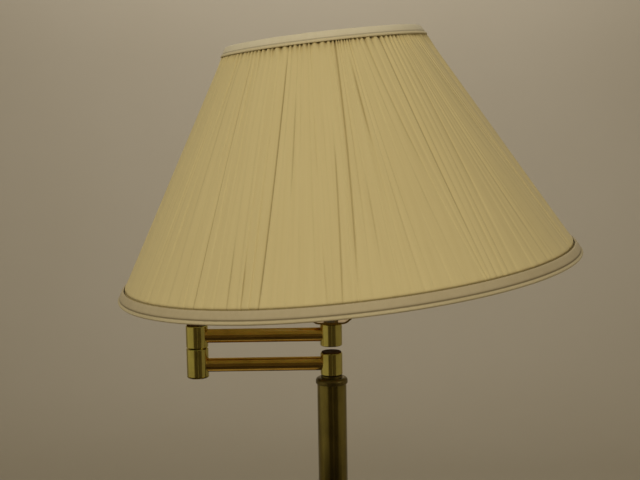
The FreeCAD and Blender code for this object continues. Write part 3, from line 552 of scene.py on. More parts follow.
@dataclass(frozen=True)
class PaperFinish(Finish):
    """Matt studio paper of the floor, its rising wall and the cards."""

    colour: str = "#CFC8B8"
    mottle_colour: str = "#CAC2B0"
    mottle_mm: float = 900.0

    def surface(self, tree: bpy.types.NodeTree) -> dict[str, Any]:
        """Build the paper's faint mottling.

        Args:
            tree: Node tree of the material.

        Returns:
            Input name to value or socket, for the shader.
        """
        place = add_node(tree, "ShaderNodeTexCoord").outputs["Object"]
        mottle = add_node(tree, "ShaderNodeTexNoise", {
            "Vector": place, "Scale": per_metre(self.mottle_mm), "Detail": 3.0})
        colour = add_node(tree, "ShaderNodeMix", {
            0: mottle.outputs["Fac"], 6: linear(self.colour), 7: linear(self.mottle_colour)},
            data_type="RGBA")
        return {"Base Color": colour.outputs[2], "Roughness": 0.9, "Specular IOR Level": 0.2}


@dataclass(frozen=True)
class SoftLight:
    """A soft rectangular light, with places and sizes in metres and its power in watts."""

    name: str
    place: tuple[float, float, float]
    aim: tuple[float, float, float]
    size: tuple[float, float]
    watts: float
    colour: str
    metal_only: bool = False

    @classmethod
    def panel(cls, name: str, bearing: float, size: tuple[float, float], watts: float,
              colour: str, distance: float = 2.1, level: float = 0.95) -> "SoftLight":
        """Return a pale panel that stands beside the lamp and that only shiny metal sees.

        Args:
            name: Name of the panel.
            bearing: Bearing of its middle in degrees, 0 towards the camera, positive to its right.
            size: Width and height in metres.
            watts: Its power.
            colour: Its colour as sRGB hex.
            distance: Distance from the lamp in metres.
            level: Height of its middle in metres.

        Returns:
            The panel as a light.
        """
        angle = math.radians(bearing)
        place = (distance * math.sin(angle), -distance * math.cos(angle), level)
        return cls(name, place, (0.0, 0.0, level), size, watts, colour, metal_only=True)

    def build(self) -> None:
        """Add the light to the scene, out of the camera's sight."""
        data = bpy.data.lights.new(self.name, "AREA")
        data.shape = "RECTANGLE"
        data.size, data.size_y = self.size
        data.energy = self.watts
        data.color = linear(self.colour)[:3]
        made = bpy.data.objects.new(self.name, data)
        made.location = self.place
        facing = Vector(self.aim) - Vector(self.place)
        made.rotation_euler = facing.to_track_quat("-Z", "Y").to_euler()
        made.visible_camera = False
        if self.metal_only:
            made.visible_diffuse = made.visible_transmission = False
        bpy.context.scene.collection.objects.link(made)


@dataclass
class Studio:
    """Pale floor that rises into a wall all round, soft lights, and dark cards for the metal."""

    floor_radius_m: float = 3.6
    wall_radius_m: float = 5.4
    wall_top_m: float = 5.5
    around: int = 96
    floor_rings_m: tuple[float, ...] = (0.0, 1.2, 2.4)
    bend_steps: int = 13
    wall_ring_rise_m: float = 1.5
    card_lift_m: float = 0.004
    card_colour: str = "#7C7568"
    low_card_colour: str = "#463F35"
    sky_colour: str = "#F2E9D6"
    sky_strength: float = 0.24
    lights: tuple[SoftLight, ...] = (
        SoftLight("key_light", (-1.05, -1.95, 2.95), (0.0, 0.0, 1.3), (1.5, 1.5), 29.7, "#FFF5E3"),
        SoftLight("fill_light", (2.6, -1.8, 2.3), (0.0, 0.0, 1.2), (1.8, 1.8), 14.0, "#FFF1DE"),
        SoftLight("back_light", (0.6, 3.0, 3.8), (0.0, 0.0, 1.0), (2.2, 2.2), 9.0, "#FFF6E6"),
        SoftLight("wall_light", (0.0, 3.1, 3.6), (0.0, 5.4, 3.6), (2.2, 2.2), 44.0, "#FFF9F2"),
    )
    panels: tuple[SoftLight, ...] = (
        SoftLight.panel("left_panel", -72.0, (3.3, 1.1), 2.0, "#FFF8DC"),
        SoftLight.panel("right_panel", 84.0, (2.7, 1.1), 0.5, "#FFF6DC"),
    )
    paper: Finish = field(default_factory=lambda: PaperFinish("studio_paper"))

    def floor(self) -> bpy.types.Object:
        """Build the floor and its rising wall as one bowl.

        Returns:
            The bowl.
        """
        bend = self.wall_radius_m - self.floor_radius_m
        profile = [(r, 0.0) for r in (*self.floor_rings_m, self.floor_radius_m)]
        profile += [(self.floor_radius_m + bend * math.sin(a), bend * (1.0 - math.cos(a)))
                    for a in np.linspace(0.0, math.pi / 2, self.bend_steps)[1:]]
        profile += [(self.wall_radius_m, z)
                    for z in (bend + self.wall_ring_rise_m, self.wall_top_m)]
        angles = np.arange(self.around) * TURN / self.around
        points = [(r * math.cos(a), r * math.sin(a), z) for r, z in profile for a in angles]
        bowl = mesh_piece("studio_floor", np.array(points),
                          grid_faces(self.around, len(profile), True))
        self.paper.apply(bowl)
        return bowl

    def card(self, name: str, points: list[tuple[float, float, float]], colour: str) -> None:
        """Make a dark card that is seen in reflections alone.

        Args:
            name: Name of the card.
            points: Its points in metres, in two rows of equal length.
            colour: Colour of its paper as sRGB hex.
        """
        made = mesh_piece(name, np.array(points), grid_faces(len(points) // 2, 2, False))
        PaperFinish(name + "_paper", colour=colour, mottle_colour=colour).apply(made)
        made.visible_camera = made.visible_diffuse = made.visible_shadow = False
        made.visible_transmission = made.visible_volume_scatter = False

    def standing_card(self, name: str, bearing: tuple[float, float],
                      heights: tuple[float, float], distance: float, colour: str) -> None:
        """Stand a curved card round the lamp.

        Args:
            name: Name of the card.
            bearing: First and last bearing in degrees, 0 towards the camera, positive to its right.
            heights: Lowest and highest level in metres.
            distance: Distance from the lamp in metres.
            colour: Colour of the card as sRGB hex.
        """
        bearings = np.radians(np.linspace(bearing[0], bearing[1], 9))
        self.card(name, [(distance * math.sin(a), -distance * math.cos(a), z)
                         for z in heights for a in bearings], colour)

    def floor_card(self, name: str, reach: tuple[float, float], colour: str) -> None:
        """Lay a ring-shaped card on the floor round the lamp.

        Args:
            name: Name of the card.
            reach: Least and greatest distance from the lamp's axis in metres.
            colour: Colour of the card as sRGB hex.
        """
        bearings = np.radians(np.linspace(-180.0, 180.0, 25))
        self.card(name, [(r * math.sin(a), -r * math.cos(a), self.card_lift_m)
                         for r in reach for a in bearings], colour)

    def build(self) -> None:
        """Build floor, lights, cards and the pale surroundings."""
        self.floor()
        for light in self.lights:
            light.build()
        self.standing_card("dark_card_left", bearing=(-27.0, 5.0), heights=(0.0, 3.4),
                           distance=1.9, colour=self.card_colour)
        self.standing_card("dark_card_right", bearing=(9.5, 46.0), heights=(0.0, 3.4),
                           distance=1.9, colour=self.card_colour)
        for panel in self.panels:
            panel.build()
        self.standing_card("low_dark_card", bearing=(-72.0, 72.0), heights=(0.0, 0.44),
                           distance=1.88, colour=self.low_card_colour)
        self.floor_card("floor_dark_card", reach=(0.45, 1.86), colour=self.low_card_colour)
        world = bpy.data.worlds.new("pale_surroundings")
        world.use_nodes = True
        world.node_tree.nodes.clear()
        sky = add_node(world.node_tree, "ShaderNodeBackground",
                       {"Color": linear(self.sky_colour), "Strength": self.sky_strength})
        add_node(world.node_tree, "ShaderNodeOutputWorld", {"Surface": sky.outputs[0]})
        bpy.context.scene.world = world
        bpy.context.scene.view_settings.view_transform = "Standard"
        log.info("studio built")


# --------------------------------------------------------------------------- shade
@dataclass
class ShadeForm:
    """The leaning cone that every cloth piece of the shade is laid on, in the shade's own frame."""

    seat_m: tuple[float, float, float] = (-0.002, 0.0, 1.43195)
    lean_left: float = 5.5
    lean_front: float = 1.7
    top_edge: float = 12.0
    bottom_edge: float = -184.5
    top_radius: float = 82.3
    bottom_radius: float = 196.3
    slope: float = field(init=False)
    slant: float = field(init=False)
    turn: np.ndarray = field(init=False, repr=False)

    def __post_init__(self) -> None:
        """Work out the slope and the turn from the upright frame to the leaning one."""
        self.slope = (self.bottom_radius - self.top_radius) / (self.top_edge - self.bottom_edge)
        axis = Vector((-math.tan(math.radians(self.lean_left)),
                       -math.tan(math.radians(self.lean_front)), 1.0)).normalized()
        turn = Vector((0.0, 0.0, 1.0)).rotation_difference(axis).to_matrix()
        self.turn = np.array(turn)
        self.slant = math.hypot(1.0, self.slope)

    def radius(self, level: Any) -> Any:
        """Return the outer radius at a level."""
        return self.bottom_radius - self.slope * (level - self.bottom_edge)

    def place(self, angle: np.ndarray, inset: np.ndarray, level: np.ndarray) -> np.ndarray:
        """Put points on the cone.

        Args:
            angle: Angle round the shade's axis in radians.
            inset: Radial distance inside the outer cone.
            level: Height over the seat along the axis.

        Returns:
            Points in metres in the lamp's frame, one row each.
        """
        radius = self.radius(level) - inset
        local = np.stack([radius * np.cos(angle), radius * np.sin(angle),
                          level * np.ones_like(angle)], axis=-1).reshape(-1, 3) * MM
        return local @ self.turn.T + np.array(self.seat_m)


@dataclass
class Crease:
    """A long fold that stands out among the gathers.

    Its two angles are in degrees at the top and bottom edges, and it fades outside its levels,
    which are shares of the slope from the top.
    """

    top_angle: float
    bottom_angle: float
    depth: float
    start: float = 0.0
    end: float = 1.0
    steep_right: bool = True


@dataclass
class GatheredCover:
    """Chiffon gathered over the shade: a row of soft knife folds, narrower towards the top.

    Each fold has a steep and a slow side, whose widths are shares of its gather. Under the top band
    the gathers puff out between pinched folds, and at the bottom band they swell and tuck in.
    """

    form: ShadeForm
    gathers: int = 140
    cut_length: float = 1240.0
    crest_inset: float = 1.75
    crest_limit: float = 0.75
    deepest_inset: float = 4.6
    hidden_insets: tuple[float, float] = (2.2, 3.6)
    width_spread: float = 0.42
    foot_spread: float = 0.12
    steep_side: float = 0.13
    slow_side: float = 0.66
    side_fall: float = 2.2
    # plain_shade and crease_shade set how dark folds and creases are painted, shade_reach the
    # painted shade's width, and shade_inset how far the cloth sinks where it is painted dark
    plain_shade: float = 0.08
    crease_depth: float = 0.6
    crease_shade: float = 0.34
    shade_reach: float = 0.6
    shade_inset: float = 0.55
    ripple: float = 0.06
    crest_spread: float = 0.08
    puff: float = 0.75
    pinch: float = 2.2
    tuck: float = 1.6
    tuck_reach: float = 1.1
    swell: float = 0.3
    top_band_edge: float = 4.0
    bottom_band_edge: float = -176.9
    low: float = -183.5
    high: float = 11.0
    seed: int = 41
    creases: list[Crease] = field(default_factory=lambda: [
        Crease(-158.5, -157.0, 0.91, 0.15, 0.95),
        Crease(-145.9, -146.3, 1.69, 0.38, 0.80),
        Crease(-138.5, -136.0, 0.52, 0.05, 0.7),
        Crease(-129.6, -127.0, 1.69, 0.12, 1.0),
        Crease(-121.9, -117.7, 1.17, 0.78, 1.0),
        Crease(-116.9, -114.2, 1.43, 0.82, 1.0, False),
        Crease(-108.2, -110.3, 1.95, 0.12, 1.0),
        Crease(-103.1, -104.5, 0.91, 0.28, 0.58),
        Crease(-96.8, -95.2, 0.7, 0.82, 1.0, False),
        Crease(-88.7, -92.3, 1.2, 0.46, 1.0),
        Crease(-84.1, -89.1, 1.4, 0.0, 0.88),
        Crease(-81.7, -82.9, 0.8, 0.58, 0.84),
        Crease(-78.8, -77.4, 1.3, 0.16, 0.46),
        Crease(-69.2, -59.9, 0.84, 0.0, 0.58),
        Crease(-60.3, -58.5, 1.26, 0.0, 0.82, False),
        Crease(-54.0, -54.9, 0.28, 0.3, 1.0),
        Crease(-48.7, -51.0, 0.91, 0.14, 0.70),
        Crease(-44.2, -38.1, 0.91, 0.14, 0.84, False),
        Crease(-35.4, -22.0, 0.98, 0.14, 0.54),
        Crease(-14.0, -12.0, 0.6, 0.1, 0.9),
        Crease(3.0, 6.0, 0.8, 0.0, 0.8),
        Crease(24.0, 21.0, 0.9, 0.1, 1.0, False),
        Crease(41.0, 46.0, 0.5, 0.2, 0.9),
        Crease(63.0, 60.0, 1.0, 0.0, 1.0),
        Crease(78.0, 84.0, 0.6, 0.3, 1.0, False),
        Crease(99.0, 96.0, 0.9, 0.0, 0.9),
        Crease(121.0, 125.0, 0.7, 0.1, 1.0),
        Crease(143.0, 139.0, 1.0, 0.05, 0.85, False),
        Crease(160.0, 164.0, 0.5, 0.2, 1.0),
        Crease(176.0, 177.0, 0.8, 0.0, 0.95),
    ])

    def boundaries(self, rng: np.random.Generator
                   ) -> tuple[np.ndarray, np.ndarray, dict[int, Crease]]:
        """Share the gathers out between the creases.

        Args:
            rng: Source of the seeded unevenness.

        Returns:
            The folds' angles at the top and at the bottom in radians, each with one more entry than
            there are gathers, and the crease that lies on each named fold.
        """
        marks = sorted(self.creases, key=lambda c: c.top_angle)
        spans = [((marks[(i + 1) % len(marks)].top_angle - c.top_angle) % 360.0
                  + (marks[(i + 1) % len(marks)].bottom_angle - c.bottom_angle) % 360.0) / 2.0
                 for i, c in enumerate(marks)]
        counts = np.maximum(1, np.round(np.array(spans) / 360.0 * self.gathers)).astype(int)
        while counts.sum() != self.gathers:
            step = 1 if counts.sum() < self.gathers else -1
            counts[np.argmax(np.array(spans) / counts * step)] += step
        top, bottom, named = [], [], {}
        for i, c in enumerate(marks):
            after = marks[(i + 1) % len(marks)]
            widths = np.exp(rng.normal(0.0, self.width_spread, counts[i]))
            skewed = widths * np.exp(rng.normal(0.0, self.foot_spread, counts[i]))
            at_top = np.concatenate([[0.0], np.cumsum(widths)]) / widths.sum()
            at_foot = np.concatenate([[0.0], np.cumsum(skewed)]) / skewed.sum()
            named[len(top)] = c
            top += list(c.top_angle + ((after.top_angle - c.top_angle) % 360.0) * at_top[:-1])
            bottom += list(c.bottom_angle
                           + ((after.bottom_angle - c.bottom_angle) % 360.0) * at_foot[:-1])
        top.append(top[0] + 360.0)
        bottom.append(bottom[0] + 360.0)
        return np.radians(top), np.radians(bottom), named

    def levels(self) -> np.ndarray:
        """Space the rows, close together near the two bands.

        Returns:
            The rows' levels from the top.
        """
        upper = [self.high, 7.5, 5.2, 4.2, 3.6, 3.0, 2.3, 1.4, 0.2, -1.6, -4.0, -7.0, -11.0, -16.0]
        middle = list(np.linspace(-22.0, -160.0, 23))
        lower = [self.bottom_band_edge + rise for rise in (9.0, 5.5, 3.4, 2.2, 1.4, 0.9, 0.45, 0.0,
                                                           -0.8, -3.6)]
        return np.array(upper + middle + lower + [self.low])

    def relief(self, levels: np.ndarray, across: np.ndarray, widths: np.ndarray,
               rng: np.random.Generator, named: dict[int, Crease]) -> tuple[np.ndarray, np.ndarray]:
        """Work out how deep each point of the cloth lies and how much painted fold shade it gets.

        Args:
            levels: Levels of the rows.
            across: Places of a gather's columns between its two folds, 0 to 1.
            widths: Width of each gather at each row, in millimetres.
            rng: Source of the seeded unevenness.
            named: The crease that lies on each named fold.

        Returns:
            Radial inset, and share of painted fold shade from 0 to 1, for each row, gather
            and column.
        """
        count = self.gathers
        share = ((self.high - levels) / (self.high - self.low))[:, None]
        depth = np.clip(rng.lognormal(-0.92, 0.42, count), 0.18, 0.95)[None, :]
        wander = np.sin(share * rng.uniform(1.5, 5.0, count)[None, :] * math.pi
                        + rng.uniform(0.0, TURN, count)[None, :])
        depth = depth * (0.8 + 0.35 * wander) * (1.1 - 0.2 * share)
        steep_right = rng.random(count) < 0.62
        # painted shade along each fold, more for deeper folds and strongest on the creases
        dark = self.plain_shade * depth
        for fold, crease in named.items():
            shown = smoothstep(crease.start - 0.10, crease.start + 0.08, share[:, 0])
            shown = shown * (1.0 - smoothstep(crease.end - 0.14, crease.end + 0.05, share[:, 0]))
            depth[:, fold] = np.maximum(depth[:, fold], self.crease_depth * crease.depth * shown)
            dark[:, fold] = np.maximum(dark[:, fold],
                                       min(1.0, self.crease_shade * crease.depth) * shown)
            steep_right[fold] = crease.steep_right
        place = across[None, None, :]
        after = np.roll(np.arange(count), -1)
        left_width = np.where(steep_right, self.steep_side, self.slow_side)[None, :, None]
        right_width = np.where(steep_right[after], self.slow_side, self.steep_side)[None, :, None]
        from_left = np.exp(-(place / left_width) ** 2 * self.side_fall)
        from_right = np.exp(-((1.0 - place) / right_width) ** 2 * self.side_fall)
        inset = depth[:, :, None] * from_left + depth[:, after, None] * from_right
        run = place * widths[:, :, None]
        rest = (1.0 - place) * widths[:, :, None]
        fold = (dark[:, :, None] * np.exp(-(run / self.shade_reach) ** 2)
                + dark[:, after, None] * np.exp(-(rest / self.shade_reach) ** 2))
        inset = inset + self.shade_inset * fold
        cells = rng.normal(0.0, 1.0, (7, count, len(across)))
        cells = (cells + np.roll(cells, 1, axis=2) + np.roll(cells, -1, axis=2)) / 3.0
        knots = share[:, 0] * (cells.shape[0] - 1)
        lower = np.clip(knots.astype(int), 0, cells.shape[0] - 2)
        blend = smoothstep(0.0, 1.0, knots - lower)[:, None, None]
        fine = cells[lower] * (1.0 - blend) + cells[lower + 1] * blend
        hump = np.sin(math.pi * place) ** 2
        inset = self.crest_inset + inset + self.ripple * fine * np.minimum(1.0, hump * 3.0)
        inset = inset + rng.normal(0.0, self.crest_spread, count)[None, :, None] * hump
        return self.finish_edges(inset, fold, levels, hump, rng)

    def finish_edges(self, inset: np.ndarray, fold: np.ndarray, levels: np.ndarray,
                     hump: np.ndarray, rng: np.random.Generator) -> tuple[np.ndarray, np.ndarray]:
        """Puff the gathers out under the top band and pull the cloth in at both bands.

        Args:
            inset: Radial inset for each row, gather and column.
            fold: Share of painted fold shade for each row, gather and column.
            levels: Levels of the rows.
            hump: A gather's rounded shape across, 0 at its folds and 1 in the middle.
            rng: Source of the seeded unevenness.

        Returns:
            The inset and the painted fold shade with the cloth's edges finished.
        """
        below = (self.top_band_edge - levels)[:, None, None]
        vary = rng.uniform(0.55, 1.25, self.gathers)[None, :, None]
        reach = rng.uniform(3.5, 8.0, self.gathers)[None, :, None]
        out = np.where(below > 0.0, np.exp(-((below - 2.0) / reach) ** 2), 0.0)
        inset = inset - self.puff * vary * out * hump
        pinch = np.where(below > -0.3, np.exp(-np.maximum(below, 0.0) / (1.6 * vary + 0.8)), 0.0)
        inset = inset + self.pinch * pinch * (1.0 - hump) ** 1.6
        # painted shade in the pinched folds under the top band
        fold = fold + pinch * (0.25 + 0.9 * (1.0 - hump) ** 2)
        above = (levels - self.bottom_band_edge)[:, None, None]
        tuck = np.where(above > -1.0, np.exp(-(np.maximum(above, 0.0) / self.tuck_reach) ** 2), 0.0)
        inset = inset + self.tuck * tuck
        # painted shade where the cloth tucks in at the bottom band
        fold = fold + 0.6 * tuck
        swell = np.exp(-((above - 3.4) / 2.2) ** 2)
        inset = inset - self.swell * swell * hump
        inset = np.clip(inset, self.crest_limit, self.deepest_inset)
        hidden = ((levels > self.top_band_edge + 0.1)
                  | (levels < self.bottom_band_edge - 0.1))[:, None, None]
        return (np.where(hidden, np.clip(inset, *self.hidden_insets), inset),
                np.clip(fold, 0.0, 1.0))

    def build(self) -> bpy.types.Object:
        """Returns:
            The cloth.
        """
        rng = np.random.default_rng(self.seed)
        top, bottom, named = self.boundaries(rng)
        across = np.array([0.0, 0.04, 0.085, 0.14, 0.21, 0.30, 0.40, 0.5,
                           0.60, 0.70, 0.79, 0.86, 0.915, 0.96])
        levels = self.levels()
        share = ((self.form.top_edge - levels)
                 / (self.form.top_edge - self.form.bottom_edge))[:, None, None]
        first = top[:-1][None, :, None] * (1 - share) + bottom[:-1][None, :, None] * share
        second = top[1:][None, :, None] * (1 - share) + bottom[1:][None, :, None] * share
        widths = (second - first)[:, :, 0] * self.form.radius(levels)[:, None]
        inset, fold = self.relief(levels, across, widths, rng, named)
        angle = first + (second - first) * across[None, None, :]
        total = self.gathers * len(across)
        angle, inset = angle.reshape(len(levels), total), inset.reshape(len(levels), total)
        points = self.form.place(angle, inset, levels[:, None] * np.ones_like(angle))
        faces = grid_faces(total, len(levels), True)
        mean = 0.5 * (self.form.top_radius + self.form.bottom_radius) * MM
        flat = np.stack([angle * mean, (-levels[:, None] * self.form.slant * MM)
                         * np.ones_like(angle)], axis=-1).reshape(-1, 2)
        uv = corner_uv(faces, flat).reshape(-1, 4, 2)
        last = np.arange(len(faces)) % total == total - 1
        uv[last, 1:3, 0] += TURN * mean
        cover = mesh_piece("gathered_cloth", points, faces, uv.reshape(-1, 2))
        # the painted fold shade goes on the cloth as an attribute
        paint_fold_shade(cover, fold)
        GATHERED_CHIFFON.apply(cover)
        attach(cover, "shade")
        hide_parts("pleated_cover")
        log.info("gathered cloth: %d faces, %d creases", len(faces), len(named))
        return cover


@dataclass
class TrimBand:
    """A woven band turned over one edge of the shade, lapped at the back, with piping below it."""

    form: ShadeForm
    name: str
    node: str
    outline: list[tuple[float, float]]
    piping_level: float
    groove_level: float
    band_finish: Finish
    piping_finish: Finish
    # groove_shade and inner_shade set the painted shade at the piping's groove and on the inner side
    groove_shade: float = 0.7
    groove_width: float = 0.5
    outer_inset: float = 2.5
    inner_inset: float = 6.0
    inner_shade: float = 0.3
    wrap_middle: float = 4.0
    wave_turns: tuple[int, ...] = (3, 5, 8, 13, 21, 34)
    wave_height: float = 0.05
    piping_sides: int = 14
    piping_twists: float = 160.0
    twist_depth: float = 0.05
    piping_radius: float = 1.3
    thickness: float = 0.45
    lap_angle: float = 3.0
    seam_angle: float = 96.0
    around: int = 420
    seed: int = 7

    def paint_groove_shade(self, piece: bpy.types.Object, inset: np.ndarray, level: np.ndarray) -> None:
        """Paint shade in the groove where the piping meets the band, and on the inner side.

        Args:
            piece: Band or piping.
            inset: Radial inset of its points.
            level: Level of its points.
        """
        line = np.exp(-((level - self.groove_level) / self.groove_width) ** 2)
        line = line * (inset < self.outer_inset)
        inside = self.inner_shade * smoothstep(self.outer_inset, self.inner_inset, inset)
        paint_fold_shade(piece, np.maximum(self.groove_shade * line, inside))

    def band(self) -> bpy.types.Object:
        """Build the band as one ribbon that goes round once and laps over its start.

        Returns:
            The band.
        """
        rng = np.random.default_rng(self.seed)
        outline = np.array(self.outline)
        turns = np.linspace(0.0, TURN + math.radians(self.lap_angle), self.around)
        lapped = smoothstep(TURN - math.radians(1.6), TURN - math.radians(0.4), turns)
        waves = sum(rng.normal(0.0, self.wave_height)
                    * np.sin(n * turns + rng.uniform(0.0, TURN)) for n in self.wave_turns)
        angle = (turns + math.radians(self.seam_angle))[None, :]
        inset = outline[:, 0][:, None] - (self.thickness + 0.1) * lapped[None, :] * np.sign(
            self.wrap_middle - outline[:, 0])[:, None]
        level = outline[:, 1][:, None] + waves[None, :] * 0.5
        angle = angle * np.ones_like(inset)
        points = self.form.place(angle, inset, level)
        faces = grid_faces(self.around, len(outline), False)
        steps = np.hypot(*np.diff(outline, axis=0).T)
        run = np.concatenate([[0.0], np.cumsum(steps)]) * MM
        mean = float(self.form.radius(outline[:, 1].mean())) * MM
        flat = np.stack([turns[None, :] * mean * np.ones_like(inset),
                         run[:, None] * np.ones_like(inset)], axis=-1).reshape(-1, 2)
        piece = mesh_piece(self.name + "_band", points, faces, corner_uv(faces, flat))
        self.paint_groove_shade(piece, inset, level)
        wall = piece.modifiers.new("cloth thickness", "SOLIDIFY")
        wall.thickness = self.thickness * MM
        wall.offset = -1.0
        self.band_finish.apply(piece)
        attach(piece, "shade")
        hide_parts(self.node)
        log.info("%s: band %.1f mm wide", self.name, run[-1] / MM)
        return piece

    def piping(self) -> bpy.types.Object:
        """Build the piping: a roll of wrapped cord whose cloth twists slightly round it.

        Returns:
            The piping.
        """
        across, columns = self.piping_sides, self.around * 2
        turns = np.arange(columns) * TURN / columns
        round_ = np.arange(across) * TURN / across
        twist = self.twist_depth * np.sin(round_[:, None] + turns[None, :] * self.piping_twists)
        radius = self.piping_radius - self.twist_depth + twist
        inset = self.piping_radius - radius * np.cos(round_)[:, None]
        level = self.piping_level + radius * np.sin(round_)[:, None]
        angle = turns[None, :] * np.ones_like(inset)
        points = self.form.place(angle, inset, level)
        faces = grid_faces(columns, across, True)
        faces += [(a, b, b - (across - 1) * columns, a - (across - 1) * columns)
                  for a, b in ((columns * (across - 1) + i,
                                columns * (across - 1) + (i + 1) % columns)
                               for i in range(columns))]
        mean = float(self.form.radius(self.piping_level)) * MM
        flat = np.stack([angle * mean, round_[:, None] * self.piping_radius * MM
                         * np.ones_like(angle)], axis=-1).reshape(-1, 2)
        piece = mesh_piece(self.name + "_piping", points, faces, corner_uv(faces, flat))
        self.paint_groove_shade(piece, inset, level * np.ones_like(inset))
        self.piping_finish.apply(piece)
        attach(piece, "shade")
        log.info("%s: piping of radius %.1f mm", self.name, self.piping_radius)
        return piece

    def build(self) -> list[bpy.types.Object]:
        """Build the band and its piping."""
        return [self.band(), self.piping()]


@dataclass
class LiningSheet:
    """Styrene cone behind the cloth, with its glued lap at the back."""

    form: ShadeForm
    outer_inset: float = 5.05
    thickness: float = 0.3
    low: float = -183.5
    high: float = 11.0
    lap_angle: float = 4.0
    seam_angle: float = 92.0
    around: int = 300
    rows: int = 9

    def build(self) -> bpy.types.Object:
        """Build the sheet as one strip that laps over its start on the outside.

        Returns:
            The sheet.
        """
        turns = np.linspace(0.0, TURN + math.radians(self.lap_angle), self.around)
        lapped = smoothstep(TURN - math.radians(2.5), TURN - math.radians(0.3), turns)
        levels = np.linspace(self.high, self.low, self.rows)
        inset = (self.outer_inset - (self.thickness + 0.05) * lapped)[None, :]
        inset = inset * np.ones((self.rows, 1))
        angle = (turns + math.radians(self.seam_angle))[None, :] * np.ones_like(inset)
        points = self.form.place(angle, inset, levels[:, None] * np.ones_like(inset))
        piece = mesh_piece("shade_lining_sheet", points,
                           grid_faces(self.around, self.rows, False))
        wall = piece.modifiers.new("sheet thickness", "SOLIDIFY")
        wall.thickness = self.thickness * MM
        wall.offset = -1.0
        STYRENE.apply(piece)
        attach(piece, "shade")
        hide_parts("shade_lining")
        log.info("lining sheet with a %.0f degree lap", self.lap_angle)
        return piece


@dataclass
class Shade:
    """The whole shade: lining, gathered cloth, both trims and the dressed wire frame."""

    form: ShadeForm = field(default_factory=ShadeForm)

    def trims(self) -> list[TrimBand]:
        """Lay out the two trims, each wrapped round its wire ring.

        Returns:
            The bottom trim and the top trim.
        """
        rises = [(1.6, 6.4), (1.4, 7.3), (1.0, 7.85), (0.7, 7.7), (0.58, 6.9), (0.55, 5.1),
                 (0.56, 3.5), (0.6, 2.7), (0.75, 2.3), (1.0, 2.0), (1.3, 0.7), (1.25, -0.4),
                 (1.7, -0.9), (3.2, -1.05), (6.2, -0.8), (8.2, 0.0), (9.35, 1.4), (9.55, 2.8),
                 (9.0, 4.2), (7.6, 5.2), (6.3, 6.3), (5.8, 8.0), (5.65, 11.0), (5.6, 14.0)]
        drops = [(1.4, 7.0), (1.25, 6.4), (0.95, 5.5), (0.7, 5.05), (0.58, 4.6), (0.55, 3.0),
                 (0.6, 1.0), (0.9, 0.2), (1.7, -0.1), (4.4, -0.15), (6.4, -0.05), (8.2, 0.4),
                 (9.3, 1.5), (9.5, 2.8), (9.0, 4.2), (7.6, 5.1), (6.3, 6.2), (5.75, 8.0),
                 (5.6, 11.0)]
        bottom = [(inset, self.form.bottom_edge + rise) for inset, rise in rises]
        top = [(inset, self.form.top_edge - drop) for inset, drop in drops]
        return [
            TrimBand(self.form, "bottom_trim", "bottom_trim", bottom, self.form.bottom_edge + 0.4,
                     self.form.bottom_edge + 2.1, TRIM_BAND, TRIM_PIPING),
            TrimBand(self.form, "top_trim", "top_trim", top, self.form.top_edge - 6.7,
                     self.form.top_edge - 5.3, TOP_BAND, TOP_PIPING, groove_shade=0.4, seed=11),
        ]

    def build(self) -> None:
        """Build every piece of the shade."""
        LiningSheet(self.form).build()
        GatheredCover(self.form).build()
        for trim in self.trims():
            trim.build()
        dress_nodes({"shade_spider": PLATED_STEEL, "bottom_ring": PLATED_STEEL,
                     "finial": POLISHED_BRASS})


# --------------------------------------------------------------------------- metalwork
@dataclass
class Harp:
    """Bowed wire, its saddle, two sleeves and the crown that carries the shade."""

    def build(self) -> None:
        """Dress the harp's pieces."""
        dress_nodes({"harp_saddle": POLISHED_BRASS, "harp_wire": POLISHED_BRASS,
                     "harp_crown": TURNED_BRASS, "harp_sleeve_left": TURNED_BRASS,
                     "harp_sleeve_right": TURNED_BRASS})


@dataclass
class Socket:
    """Lamp holder with its key switch, and the bulb in it."""

    def build(self) -> None:
        """Dress the socket's and the bulb's pieces."""
        dress_nodes({"socket_cap": TURNED_BRASS, "socket_shell": TURNED_BRASS,
                     "socket_liner": LINER_CARD, "socket_body": PHENOLIC,
                     "screw_shell": PLATED_STEEL, "centre_contact": POLISHED_BRASS,
                     "switch_shaft": POLISHED_BRASS, "switch_knob": PHENOLIC,
                     "bulb_base": PLATED_STEEL, "bulb_glass": OPAL_GLASS})


@dataclass
class SwingArms:
    """Two tubes and their knuckles, folded over one another."""

    def build(self) -> None:
        """Dress the arms, knuckles and pivots."""
        knuckles = ("post_knuckle", "elbow_lower_knuckle", "elbow_upper_knuckle",
                    "socket_knuckle", "elbow_bottom_cap")
        caps = ("post_knuckle_cap", "elbow_top_cap", "socket_knuckle_cap")
        steel = ("elbow_stem", "elbow_nuts", "socket_stem", "socket_nuts")
        dress_nodes({name: TURNED_BRASS for name in knuckles})
        # the caps' matt dark brown is a painted dark reflection
        dress_nodes({name: DARK_REFLECTION_DISC for name in caps})
        dress_nodes({name: PLATED_STEEL for name in steel})
        dress_nodes({"lower_arm_tube": BRASS_ARM_TUBE, "upper_arm_tube": BRASS_ARM_TUBE,
                     "elbow_washers": FIBRE, "lower_arm_lead": LEAD_SHEATH,
                     "upper_arm_lead": LEAD_SHEATH})


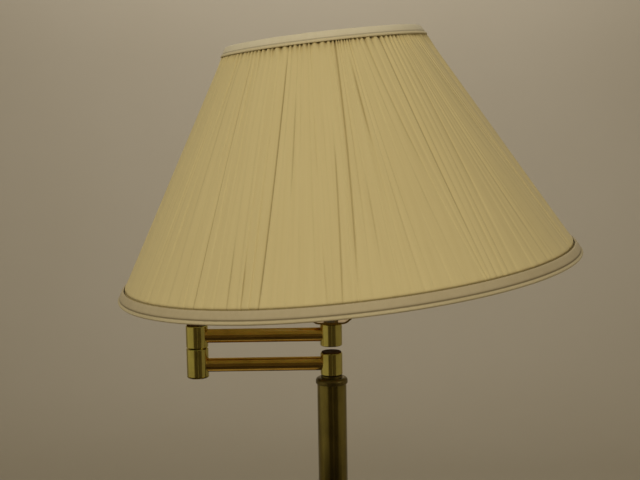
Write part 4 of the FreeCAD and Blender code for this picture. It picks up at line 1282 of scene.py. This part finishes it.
@dataclass
class Column:
    """Three lengths of pole with couplings, the dark cap, and the post's pivot."""

    def build(self) -> None:
        """Dress the pole."""
        dress_nodes({"lower_pole": ANTIQUE_BRASS, "middle_pole": ANTIQUE_BRASS,
                     "upper_pole": ANTIQUE_BRASS, "pole_couplings": PLATED_STEEL,
                     "pole_foot_insert": PLATED_STEEL, "pole_cap": DARK_BRONZE,
                     "post_stem": PLATED_STEEL, "post_washers": FIBRE,
                     "post_nut": PLATED_STEEL, "pole_lead": LEAD_SHEATH})


@dataclass
class Base:
    """Spun cover over a cast weight on felt, with the pole's collar and the cord inlet."""

    felt_radius: float = 132.0
    felt_thickness: float = 2.0
    around: int = 360
    seed: int = 5

    def felt(self) -> bpy.types.Object:
        """Build the felt disc with its slightly ragged cut edge and soft nap.

        Returns:
            The felt.
        """
        top = self.felt_thickness
        rng = np.random.default_rng(self.seed)
        angle = np.arange(self.around) * TURN / self.around
        ragged = rng.normal(0.0, 0.12, self.around)
        ragged = (ragged + np.roll(ragged, 1)) / 2.0
        rings = [(0.0, 0.05), (30.0, 0.05), (70.0, 0.05), (110.0, 0.05), (126.0, 0.05),
                 (130.6, 0.12), (131.6, 0.5), (131.85, 1.0), (131.5, 1.6), (130.4, 1.95),
                 (110.0, top), (70.0, top), (30.0, top), (0.0, top)]
        points = []
        for radius, level in rings:
            edge = ragged * (1.0 if radius > 129.0 else 0.0)
            here = (radius + edge) * MM
            points.append(np.stack([here * np.cos(angle), here * np.sin(angle),
                                    np.full(self.around, level * MM)], axis=-1))
        piece = mesh_piece("felt_pad", np.concatenate(points),
                           grid_faces(self.around, len(rings), True))
        WOOL_FELT.apply(piece)
        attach(piece, "stand")
        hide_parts("base_felt")
        return piece

    def build(self) -> None:
        """Build the felt and dress the base's metal."""
        self.felt()
        dress_nodes({"base_cover": SPUN_BRASS, "base_collar": SPUN_BRASS,
                     "base_weight": CAST_IRON, "cord_grommet": BUSH_RUBBER,
                     "terminal_block": PHENOLIC, "base_nut": PLATED_STEEL,
                     "base_washer": PLATED_STEEL, "base_stem": PLATED_STEEL})


# --------------------------------------------------------------------------- the whole lamp
def main() -> None:
    logging.basicConfig(level=logging.INFO, format="%(name)s: %(message)s")
    PhotoCamera().build()
    Studio().build()
    for part in (Shade(), Harp(), Socket(), SwingArms(), Column(), Base()):
        part.build()
        log.info("%s done", type(part).__name__)


if __name__ == "__main__":
    main()
